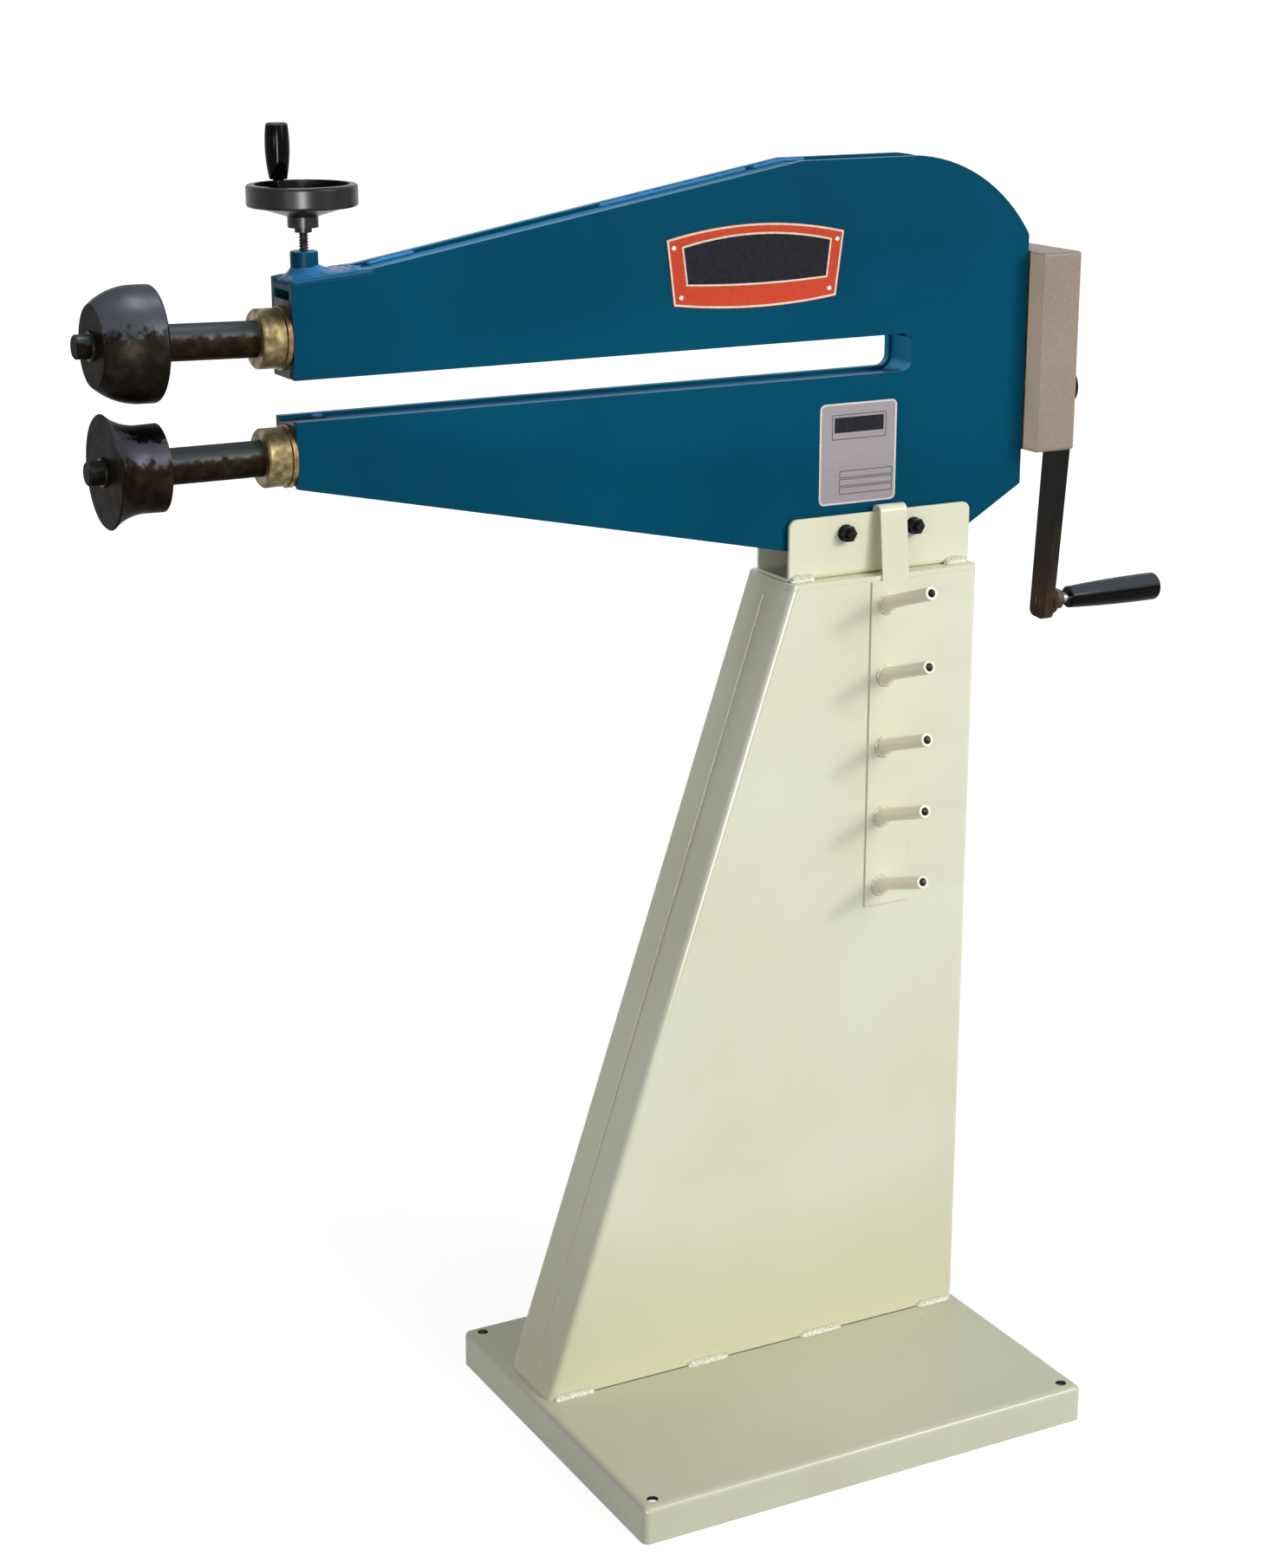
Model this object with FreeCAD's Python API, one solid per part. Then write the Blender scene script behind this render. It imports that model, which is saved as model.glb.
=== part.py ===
import FreeCAD, Part
import math
import os

# Manual bead roller on a floor stand. Millimetres.
# The origin is the centre of the base's underside. X runs along the shafts: the forming rolls are
# at -X (front) and the crank at +X (rear). Near is -Y, far is +Y, and +Z is up.

Vector = FreeCAD.Vector
ALONG_X = Vector(1, 0, 0)
ALONG_Y = Vector(0, 1, 0)
ALONG_Z = Vector(0, 0, 1)

# Clearances
RUNNING = 0.05          # radial, a shaft in its bush
SLIDING = 0.2           # each side, a block between the frame plates
AXIAL_PLAY = 0.4        # along a shaft, between a turning face and a standing one
HUNG = 0.3              # a hooked or loosely held piece off its seat

# Base pan
BASE_LENGTH = 595.0
BASE_WIDTH = 478.0
BASE_HEIGHT = 45.0
BASE_SHEET = 5.0
BASE_BEND = 3.0         # inside radius of the folds
ANCHOR_HOLE = 13.0
ANCHOR_INSET_X = 19.0
ANCHOR_INSET_Y = 17.0

# Stand: two folded halves and a deck
HEAD_Y = 78.0           # mid plane of the stand, the head and both shafts
STAND_HEIGHT = 955.0    # base top to deck top
STAND_DEPTH = 106.0
STAND_REAR_X = 290.0
STAND_FOOT_LENGTH = 575.0
STAND_TOP_LENGTH = 253.0
STAND_SHEET = 4.0
STAND_BEND = 5.0
DECK_SHEET = 6.0

# Cradle: the U channel that holds the head
CRADLE_LENGTH = 246.0
CRADLE_FROM_REAR = 4.0    # its rear end inside the stand's
CRADLE_HEIGHT = 72.5
CRADLE_SHEET = 4.0
CRADLE_BEND = 4.0
CRADLE_CORNER = 10.0    # rounded upper corners of its flanges
HEAD_RAISE = 30.0       # underside of the head above the deck
CROSS_BOLT = 10.0
CROSS_BOLT_HOLE = 11.0
CROSS_BOLT_RAISE = 51.5
CROSS_BOLT_FRONT = 74.5     # from the cradle's front end
CROSS_BOLT_PITCH = 92.8
NUT_FLATS = 17.0
NUT_HEIGHT = 8.0
BOLT_HEAD_HEIGHT = 6.4
WASHER_RADIUS = 10.0
BOLT_END = 6.0          # thread standing out of the nut

# Head: two plates with spacer strips set back in the groove between them
PLATE_SHEET = 9.0
PLATE_GAP = 40.0
HEAD_REAR_X = 362.0
HEAD_LENGTH = 912.0
THROAT_DEPTH = 754.0
LOWER_SHAFT_RISE = 162.0    # lower shaft above the underside of the head
NOSE_BELOW_SHAFT = 31.0
SLOT_ABOVE_SHAFT = 39.0
SLOT_HEIGHT = 43.0
SLOT_CORNER = 13.0
UPPER_ARM_DEPTH = 101.0     # at the nose
NOSE_FLAT = 90.0            # the top edge starts with this flatter stretch
NOSE_FLAT_RISE = 8.4
HEAD_HEIGHT = 442.5
BELLY_FLAT_FRONT = 294.0    # rear edge of the head to the front end of the flat belly
BELLY_FLAT_REAR = 95.0
BELLY_CHAMFER_RISE = 56.0
TOP_FLAT_FRONT = 308.0      # rear edge of the head to the front end of the flat top
TOP_ARC_FRONT = 150.0       # and to where the rounded rear corner starts
REAR_EDGE_DROP = 94.7       # head top to the foot of the rounded corner
REAR_ARC_BULGE = 20.7       # how far that corner stands out from its chord
SPACER_RECESS = 4.5
SPACER_SHEET = 6.0

# Shafts
JOURNAL_RADIUS = 14.0
SHAFT_RADIUS = 19.0
ARBOR_RADIUS = 12.5
GEAR_SEAT_RADIUS = 12.5
REAR_CENTRES = 101.5        # centre distance at the rocker
ROLL_CENTRES_OPEN = 127.0
ROLL_CENTRES_CLOSED = 109.5
ROCKER_INSET = 25.0         # rocker axis in from the rear edge of the head

# Bushes, blocks and collars
BUSH_WALL = 3.0
FLANGE_RADIUS = 33.0
FLANGE_SHEET = 5.0
FRONT_BLOCK_LENGTH = 50.0
REAR_BLOCK_LENGTH = 50.0
BLOCK_HALF_HEIGHT = 30.0
SLIDE_HALF_HEIGHT = 40.0
SLIDE_PROUD = 1.6           # slide block in front of the plate ends, so its flange clears them
ROCKER_HALF_HEIGHT = 26.0
ROCKER_CORNER = 6.0
ROCKER_END_GAP = 1.5        # the rocker's body is this much shorter than its bush at each end
TRUNNION_RADIUS = 8.0
TRUNNION_LENGTH = 5.5
COLLAR_RADIUS = 31.0
COLLAR_LENGTH = 25.0
COLLAR_CHAMFER = 2.0
GRUB_RADIUS = 4.0
GRUB_SOCKET = 2.0

# Rolls, measured from the shoulder of the shaft towards the front
ROLL_SHOULDER_FROM_NOSE = 140.0
UPPER_ROLL_WIDTH = 64.0
UPPER_ROLL_RADIUS = 59.5
UPPER_ROLL_ARC = 68.6       # radius of its crowned face
UPPER_ROLL_FLAT = 18.0      # cylindrical stretch beside the shoulder
UPPER_ROLL_CORNER = 4.0
LOWER_ROLL_WIDTH = 58.0
LOWER_ROLL_FLANGE = 59.0
LOWER_ROLL_WAIST = 45.0
LOWER_ROLL_FLANGE_EDGE = 1.6
LOWER_ROLL_FLAT = 20.0
ROLL_BORE_CLEARANCE = 0.05
RING_RADIUS = 15.0
RING_SHEET = 3.0
RING_GROOVE = 1.5           # depth in the arbor
RING_GAP = 8.0
ARBOR_END = 15.0            # arbor beyond the ring

# Keys
KEY_WIDTH = 8.0
KEY_HEIGHT = 7.0
KEY_IN_SHAFT = 4.0
KEY_TOP_CLEARANCE = 0.3
ROLL_KEY_LENGTH = 40.0
GEAR_KEY_LENGTH = 20.0
CRANK_KEY_LENGTH = 16.0

# Gears
MODULE = 4.0
TEETH = 25
PRESSURE_ANGLE = math.radians(20.0)
TOOTH_THINNING = 0.6        # taken off each tooth at the pitch circle
ADDENDUM = 1.0
DEDENDUM = 1.25
GEAR_WIDTH = 24.0
GEAR_HUB_RADIUS = 22.0
GEAR_HUB_LENGTH = 11.0
GEAR_WEB_DEPTH = 5.0        # recess turned in the rear face
GEAR_RIM = 8.0
END_WASHER_RADIUS = 18.0
END_WASHER_SHEET = 3.0
END_BOLT_RADIUS = 5.0
END_BOLT_FLATS = 17.0
END_BOLT_HEAD = 6.5
END_BOLT_LENGTH = 22.0

# Gear cover and its backing plate
SPACER_PLATE_SHEET = 3.0    # dark plate between head and cover
SPACER_PLATE_SIDE_INSET = 1.0   # from the head's sides
SPACER_PLATE_END_INSET = 10.0   # from the cover's ends
BACKING_SHEET = 3.0
BACKING_HOLE = 25.0         # radius round each gear hub
COVER_SHEET = 2.0
COVER_BEND = 2.0
COVER_SIDE_ROOM = 4.0       # from the tips of the gears to the outside of the cover
COVER_ROOM_BELOW = 12.0
COVER_ROOM_ABOVE = 11.0
COVER_END_ROOM = 11.1       # beyond the bolt of the upper gear
POST_RADIUS = 5.0
POST_INSET = 9.0
COVER_SCREW_RADIUS = 3.0
COVER_SCREW_LENGTH = 16.0
COVER_SCREW_HEAD_RADIUS = 5.0
COVER_SCREW_HEAD = 3.3

# Crank
SLEEVE_RADIUS = 18.0
CRANK_GAP = 5.4             # between cover and crank
CRANK_HUB_LENGTH = 10.0
CRANK_HUB_RADIUS = 23.0
CRANK_SHEET = 13.0
CRANK_RADIUS = 269.0
CRANK_HANG = 4.7            # degrees that the arm leans towards the far side at rest
CRANK_HUB_HALF = 19.0       # half width of the arm at the shaft
CRANK_PIN_HALF = 16.0       # and at the grip
CRANK_TAIL = 21.0
CRANK_TAIL_CORNER = 9.0
GRIP_BOSS_RADIUS = 18.0
GRIP_BOSS_LENGTH = 7.0
GRIP_HEX_FLATS = 22.0
GRIP_HEX_LENGTH = 12.0
GRIP_SPINDLE_RADIUS = 6.0
GRIP_BARE = 11.0            # bright spindle between hexagon and grip
GRIP_LENGTH = 135.0
GRIP_ROOT_RADIUS = 13.5
GRIP_END_RADIUS = 17.3
GRIP_ROUNDING = 5.0
GRIP_WALL_END = 9.0

# Adjusting screw, boss and handwheel
SCREW_FROM_NOSE = 26.0
SCREW_RADIUS = 5.0
SCREW_CLEARANCE = 0.1
SCREW_LEAD = 3.0
BOSS_RADIUS = 14.5
BOSS_ABOVE_NOSE = 27.0
WHEEL_ABOVE_BOSS = 19.0
FOOT_RADIUS = 12.0
FOOT_SHEET = 6.0
FOOT_SLOT_PLAY = 0.7
FOOT_LIP = 6.0              # slide block material over the T slot
FOOT_NECK_PLAY = 1.5
SCREW_PIN_RADIUS = 3.5
SCREW_PIN_LENGTH = 3.2
SCREW_PEEN_RADIUS = 5.2
SCREW_PEEN_LENGTH = 2.2
SCREW_PLAY = 0.1
WHEEL_RADIUS = 57.2
WHEEL_RIM_INNER = 48.5
WHEEL_RIM_HEIGHT = 22.5
WHEEL_RIM_RAISE = 26.0      # rim underside above the wheel's lowest face
WHEEL_RIM_ROUNDING = 3.0
WHEEL_WEB = 6.0
WHEEL_WEB_DROP = 10.0        # the web is lower at the hub than at the rim
WHEEL_HUB_RADIUS = 16.0
WHEEL_HUB_HEIGHT = 32.0
WHEEL_STEP_RADIUS = 9.0
WHEEL_STEP_HEIGHT = 5.0
WHEEL_NUT_FLATS = 13.0
WHEEL_NUT_HEIGHT = 6.0
WHEEL_STUD_RADIUS = 4.0
HANDLE_OFFSET_X = -11.1
HANDLE_OFFSET_Y = 36.3
HANDLE_SPINDLE_RADIUS = 4.0
FERRULE_RADIUS = 5.5
FERRULE_LENGTH = 22.0
HANDLE_LENGTH = 57.0
HANDLE_ROOT_RADIUS = 9.2
HANDLE_BELLY_RADIUS = 12.8
HANDLE_BELLY_AT = 38.0
HANDLE_TOP_RADIUS = 11.7
HANDLE_ROUNDING = 4.0
HANDLE_BORE = 47.0

# Tool rack
RACK_SHEET = 2.0
RACK_STRAP_LEFT = 115.0     # from the cradle's front end
RACK_STRAP_WIDTH = 36.0
RACK_HOOK_DEPTH = 18.0
RACK_HOOK_BEND = 8.2        # outer radius where the strap goes over the flange
RACK_HOOK_FLAT = 0.6
RACK_PLATE_WIDTH = 61.0
RACK_PLATE_OVERHANG = 14.0   # plate edge outside the strap's front edge
RACK_PLATE_LENGTH = 397.0
RACK_PLATE_BELOW_DECK = 6.0
PEG_RADIUS = 8.0
PEG_BORE = 4.8
PEG_LENGTH = 94.0
PEG_RISE = 18.0             # degrees
PEG_COUNT = 5
PEG_PITCH = 86.3
PEG_FIRST = 26.0            # below the plate's top edge
PEG_WELD_RADIUS = 13.0      # of the weld round each root
PEG_WELD_REACH = 8.0        # along the peg
PEG_ROOT_DEPTH = 4.0        # behind the plate's face, before the back is cut off
PEG_FROM_EDGE = 22.0

# Plates on the head's near face
PLATE_LABEL_SHEET = 1.2
NAME_PLATE_TOP_WIDTH = 226.0
NAME_PLATE_BOTTOM_WIDTH = 207.0
NAME_PLATE_HEIGHT = 72.0
NAME_PLATE_TOP_ARCH = 13.0
NAME_PLATE_BOTTOM_ARCH = 7.0
NAME_PLATE_FROM_REAR = 366.5
NAME_PLATE_RISE = 293.0     # lower corners above the head's underside
NAME_RIVET_RADIUS = 2.8
NAME_RIVET_HEAD = 1.5
NAME_RIVET_SHANK = 1.6
NAME_RIVET_DEPTH = 5.0
NAME_RIVET_INSET = 9.0
RATING_SHEET = 0.5
RATING_WIDTH = 103.5
RATING_HEIGHT = 117.0
RATING_FROM_REAR = 280.0
RATING_RISE = 53.5
RATING_CORNER = 7.0

# Places that follow from the sizes
DECK_Z = BASE_HEIGHT + STAND_HEIGHT
STAND_NEAR_Y = HEAD_Y - STAND_DEPTH / 2
STAND_FAR_Y = HEAD_Y + STAND_DEPTH / 2
CRADLE_FRONT_X = STAND_REAR_X - CRADLE_FROM_REAR - CRADLE_LENGTH
WASHER_SHEET = RACK_SHEET + RATING_SHEET + 2 * HUNG     # room for the rack's hook beside the head
HEAD_WIDTH = PLATE_GAP + 2 * PLATE_SHEET
HEAD_NEAR_Y = HEAD_Y - HEAD_WIDTH / 2
HEAD_FAR_Y = HEAD_Y + HEAD_WIDTH / 2
GAP_NEAR_Y = HEAD_Y - PLATE_GAP / 2
GAP_FAR_Y = HEAD_Y + PLATE_GAP / 2
CRADLE_NEAR_Y = HEAD_NEAR_Y - WASHER_SHEET - CRADLE_SHEET
CRADLE_FAR_Y = HEAD_FAR_Y + WASHER_SHEET + CRADLE_SHEET
HEAD_BOTTOM_Z = DECK_Z + HEAD_RAISE
HEAD_TOP_Z = HEAD_BOTTOM_Z + HEAD_HEIGHT
HEAD_FRONT_X = HEAD_REAR_X - HEAD_LENGTH
SLOT_END_X = HEAD_FRONT_X + THROAT_DEPTH
LOWER_Z = HEAD_BOTTOM_Z + LOWER_SHAFT_RISE
SLOT_BOTTOM_Z = LOWER_Z + SLOT_ABOVE_SHAFT
SLOT_TOP_Z = SLOT_BOTTOM_Z + SLOT_HEIGHT
NOSE_BOTTOM_Z = LOWER_Z - NOSE_BELOW_SHAFT
NOSE_TOP_Z = SLOT_TOP_Z + UPPER_ARM_DEPTH
PIVOT_X = HEAD_REAR_X - ROCKER_INSET
PIVOT_Z = LOWER_Z + REAR_CENTRES
BUSH_RADIUS = JOURNAL_RADIUS + RUNNING + BUSH_WALL
SHOULDER_X = HEAD_FRONT_X - ROLL_SHOULDER_FROM_NOSE
ROLL_MID_X = SHOULDER_X - UPPER_ROLL_WIDTH / 2
OPEN_TILT = math.degrees(math.atan((ROLL_CENTRES_OPEN - REAR_CENTRES) / (PIVOT_X - ROLL_MID_X)))
CLOSED_TILT = math.degrees(math.atan((ROLL_CENTRES_CLOSED - REAR_CENTRES) / (PIVOT_X - ROLL_MID_X)))
SCREW_X = HEAD_FRONT_X + SCREW_FROM_NOSE
BOSS_TOP_Z = NOSE_TOP_Z + BOSS_ABOVE_NOSE
WHEEL_Z = BOSS_TOP_Z + WHEEL_ABOVE_BOSS
GEAR_HUB_X = HEAD_REAR_X + AXIAL_PLAY
GEAR_X = GEAR_HUB_X + GEAR_HUB_LENGTH
GEAR_END_X = GEAR_X + GEAR_WIDTH
BACKING_X = HEAD_REAR_X + SPACER_PLATE_SHEET
COVER_X = BACKING_X
GEAR_TIP = MODULE * (TEETH / 2 + ADDENDUM)
COVER_END_X = GEAR_END_X + END_WASHER_SHEET + END_BOLT_HEAD + COVER_END_ROOM
COVER_HALF_WIDTH = GEAR_TIP + COVER_SIDE_ROOM
COVER_BOTTOM_Z = LOWER_Z - GEAR_TIP - COVER_ROOM_BELOW
COVER_TOP_Z = PIVOT_Z + GEAR_TIP + COVER_ROOM_ABOVE
CRANK_HUB_X = COVER_END_X + CRANK_GAP
CRANK_X = CRANK_HUB_X + CRANK_HUB_LENGTH
CRANK_END_X = CRANK_X + CRANK_SHEET


def box(x0, x1, y0, y1, z0, z1):
    return Part.makeBox(x1 - x0, y1 - y0, z1 - z0, Vector(x0, y0, z0))


def rod(radius, start, end):
    """A round bar between two points."""
    along = end.sub(start)
    return Part.makeCylinder(radius, along.Length, start, along)


def rod_x(radius, x0, x1, z, y=HEAD_Y):
    return rod(radius, Vector(x0, y, z), Vector(x1, y, z))


def rod_z(radius, z0, z1, x, y=HEAD_Y):
    return rod(radius, Vector(x, y, z0), Vector(x, y, z1))


def hexagon(flats, start, end, turn=0.0):
    """A hexagonal bar between two points, given across its flats."""
    along = end.sub(start)
    corner = flats / math.sqrt(3.0)
    angles = [math.radians(60 * i + turn) for i in range(7)]
    corners = [Vector(corner * math.cos(a), corner * math.sin(a), 0) for a in angles]
    bar = Part.Face(Part.makePolygon(corners)).extrude(Vector(0, 0, along.Length))
    bar.Placement = FreeCAD.Placement(start, FreeCAD.Rotation(ALONG_Z, along))
    return bar


def rounded_wire(corners, place):
    """A closed outline. Each corner is (u, v, radius), and place turns (u, v) into a point."""
    edges = []
    points = []
    for i, (u, v, radius) in enumerate(corners):
        before = Vector(corners[i - 1][0], corners[i - 1][1], 0)
        here = Vector(u, v, 0)
        after = Vector(*corners[(i + 1) % len(corners)][:2], 0)
        if radius <= 0:
            points.append((here, None, here))
            continue
        back = before.sub(here).normalize()
        on = after.sub(here).normalize()
        half = back.getAngle(on) / 2
        reach = radius / math.tan(half)
        middle = back.add(on).normalize()
        bulge = radius / math.sin(half) - radius
        points.append((here + back * reach, here + middle * bulge, here + on * reach))
    for i, (start, via, end) in enumerate(points):
        if via is not None:
            edges.append(Part.Arc(place(start), place(via), place(end)).toShape())
        following = points[(i + 1) % len(points)][0]
        if end.distanceToPoint(following) > 1e-6:
            edges.append(Part.LineSegment(place(end), place(following)).toShape())
    return Part.Wire(edges)


def in_xz(point):
    return Vector(point.x, 0, point.y)


def in_yz(point):
    return Vector(0, point.x, point.y)


def plate_xz(wire, y0, y1):
    slab = Part.Face(wire).extrude(Vector(0, y1 - y0, 0))
    slab.translate(Vector(0, y0, 0))
    return slab


def plate_yz(wire, x0, x1):
    slab = Part.Face(wire).extrude(Vector(x1 - x0, 0, 0))
    slab.translate(Vector(x0, 0, 0))
    return slab


def turned(profile, centre, axis=ALONG_Z):
    """A turned piece from its half section, a closed wire of (radius, length along the axis)."""
    solid = Part.Face(profile).revolve(Vector(0, 0, 0), ALONG_Z, 360)
    solid.Placement = FreeCAD.Placement(centre, FreeCAD.Rotation(ALONG_Z, axis))
    return solid


def fillet_where(shape, radius, chosen):
    """Rounds the edges that pass the test."""
    return shape.makeFillet(radius, [e for e in shape.Edges if chosen(e)]).Solids[0]


def chamfer_where(shape, size, chosen):
    return shape.makeChamfer(size, [e for e in shape.Edges if chosen(e)]).Solids[0]


def runs_along(edge, axis):
    """True for a straight edge parallel to the axis."""
    if not isinstance(edge.Curve, Part.Line):
        return False
    return edge.Curve.Direction.cross(axis).Length < 1e-6


def near(a, b):
    return abs(a - b) < 1e-4


def write(name, shape):
    if shape.ShapeType == "Compound" and len(shape.Solids) == 1:
        shape = shape.Solids[0]
    for solid in shape.Solids:
        if not solid.isValid() or solid.Volume <= 0:
            raise ValueError("bad solid in " + name)
    shape.exportStep("parts/" + name + ".step")
    print(name, len(shape.Solids), round(shape.Volume / 1000.0, 1))


# Base and stand

def base_pan():
    """Sheet tray, folded down on all four sides, welded at the corners and open underneath."""
    half_x = BASE_LENGTH / 2
    half_y = BASE_WIDTH / 2
    outer_bend = BASE_BEND + BASE_SHEET

    def not_underneath(edge):
        return edge.CenterOfMass.z > 1e-4

    outside = box(-half_x, half_x, -half_y, half_y, 0, BASE_HEIGHT)
    outside = fillet_where(outside, outer_bend, not_underneath)
    inner_x = half_x - BASE_SHEET
    inner_y = half_y - BASE_SHEET
    inside = box(-inner_x, inner_x, -inner_y, inner_y, 0, BASE_HEIGHT - BASE_SHEET)
    inside = fillet_where(inside, BASE_BEND, not_underneath)
    pan = outside.cut(inside)
    for sx in (-1, 1):
        for sy in (-1, 1):
            x = sx * (half_x - ANCHOR_INSET_X)
            y = sy * (half_y - ANCHOR_INSET_Y)
            pan = pan.cut(rod_z(ANCHOR_HOLE / 2, 0, BASE_HEIGHT + 1, x, y))
    return pan


def stand_block(inset, y0, y1, bend, rounded_y):
    """The stand's tapered outline as a solid, set in by a sheet and rounded on one or both faces."""
    foot_x = STAND_REAR_X - STAND_FOOT_LENGTH
    top_x = STAND_REAR_X - STAND_TOP_LENGTH
    slope = math.atan((top_x - foot_x) / STAND_HEIGHT)
    shift = inset / math.cos(slope)
    corners = [
        (foot_x + shift, BASE_HEIGHT, 0),
        (STAND_REAR_X - inset, BASE_HEIGHT, 0),
        (STAND_REAR_X - inset, DECK_Z, 0),
        (top_x + shift, DECK_Z, 0),
    ]
    block = plate_xz(rounded_wire(corners, in_xz), y0, y1)

    def along_the_height(edge):
        if edge.BoundBox.ZLength < STAND_HEIGHT / 2:
            return False
        return any(near(edge.CenterOfMass.y, y) for y in rounded_y)

    return fillet_where(block, bend, along_the_height)


def stand_shell(side):
    """Half of the stand: a channel folded from one sheet, open towards the seam."""
    outer_y = HEAD_Y + side * STAND_DEPTH / 2
    inner_y = outer_y - side * STAND_SHEET
    outer_bend = STAND_BEND + STAND_SHEET
    outside = stand_block(0, min(outer_y, HEAD_Y), max(outer_y, HEAD_Y), outer_bend, [outer_y])
    inside = stand_block(STAND_SHEET, min(inner_y, HEAD_Y), max(inner_y, HEAD_Y), STAND_BEND, [inner_y])
    shell = outside.cut(inside)
    return shell.cut(box(-BASE_LENGTH, BASE_LENGTH, STAND_NEAR_Y, STAND_FAR_Y, DECK_Z - DECK_SHEET, DECK_Z))


def stand_deck():
    bend = STAND_BEND + STAND_SHEET
    block = stand_block(0, STAND_NEAR_Y, STAND_FAR_Y, bend, [STAND_NEAR_Y, STAND_FAR_Y])
    slab = box(-BASE_LENGTH, BASE_LENGTH, STAND_NEAR_Y, STAND_FAR_Y, DECK_Z - DECK_SHEET, DECK_Z)
    return block.common(slab)


def cross_bolt_places():
    first = CRADLE_FRONT_X + CROSS_BOLT_FRONT
    return [first, first + CROSS_BOLT_PITCH]


def cross_bolt_holes(y0, y1):
    z = DECK_Z + CROSS_BOLT_RAISE
    radius = CROSS_BOLT_HOLE / 2
    return Part.makeCompound([rod(radius, Vector(x, y0, z), Vector(x, y1, z)) for x in cross_bolt_places()])


def head_cradle():
    """U channel with rounded flange corners, standing on the deck."""
    x1 = CRADLE_FRONT_X + CRADLE_LENGTH
    top = DECK_Z + CRADLE_HEIGHT
    outside = box(CRADLE_FRONT_X, x1, CRADLE_NEAR_Y, CRADLE_FAR_Y, DECK_Z, top)
    outside = fillet_where(
        outside, CRADLE_BEND + CRADLE_SHEET,
        lambda e: runs_along(e, ALONG_X) and near(e.CenterOfMass.z, DECK_Z))
    inner_near = CRADLE_NEAR_Y + CRADLE_SHEET
    inner_far = CRADLE_FAR_Y - CRADLE_SHEET
    floor = DECK_Z + CRADLE_SHEET
    inside = box(CRADLE_FRONT_X, x1, inner_near, inner_far, floor, top)
    inside = fillet_where(
        inside, CRADLE_BEND,
        lambda e: runs_along(e, ALONG_X) and near(e.CenterOfMass.z, floor))
    channel = outside.cut(inside)
    channel = fillet_where(
        channel, CRADLE_CORNER,
        lambda e: runs_along(e, ALONG_Y) and near(e.CenterOfMass.z, top))
    return channel.cut(cross_bolt_holes(CRADLE_NEAR_Y - 1, CRADLE_FAR_Y + 1))


def cross_bolt_faces():
    """Y of the washers' outer faces, near and far."""
    return CRADLE_NEAR_Y - WASHER_SHEET, CRADLE_FAR_Y + WASHER_SHEET


def cradle_bolts():
    near_y, far_y = cross_bolt_faces()
    z = DECK_Z + CROSS_BOLT_RAISE
    end_y = near_y - NUT_HEIGHT - BOLT_END
    bolts = []
    for x in cross_bolt_places():
        shank = rod(CROSS_BOLT / 2, Vector(x, end_y, z), Vector(x, far_y, z))
        shank = chamfer_where(shank, 1.0, lambda e: near(e.CenterOfMass.y, end_y))
        head = hexagon(NUT_FLATS, Vector(x, far_y, z), Vector(x, far_y + BOLT_HEAD_HEIGHT, z))
        bolts.append(shank.fuse(head).removeSplitter())
    return Part.makeCompound(bolts)


def cradle_nuts():
    near_y, _ = cross_bolt_faces()
    z = DECK_Z + CROSS_BOLT_RAISE
    nuts = []
    for x in cross_bolt_places():
        nut = hexagon(NUT_FLATS, Vector(x, near_y - NUT_HEIGHT, z), Vector(x, near_y, z))
        nuts.append(nut.cut(rod(CROSS_BOLT / 2, Vector(x, near_y - 20, z), Vector(x, near_y + 1, z))))
    return Part.makeCompound(nuts)


def cradle_washers():
    """Outside each flange a washer, and inside it another that fills the room up to the head."""
    z = DECK_Z + CROSS_BOLT_RAISE
    faces = [
        CRADLE_NEAR_Y - WASHER_SHEET,
        HEAD_NEAR_Y - WASHER_SHEET,
        HEAD_FAR_Y,
        CRADLE_FAR_Y,
    ]
    rings = []
    for x in cross_bolt_places():
        for y in faces:
            disc = rod(WASHER_RADIUS, Vector(x, y, z), Vector(x, y + WASHER_SHEET, z))
            hole = rod(CROSS_BOLT_HOLE / 2, Vector(x, y - 1, z), Vector(x, y + WASHER_SHEET + 1, z))
            rings.append(disc.cut(hole))
    return Part.makeCompound(rings)


# Head frame

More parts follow.
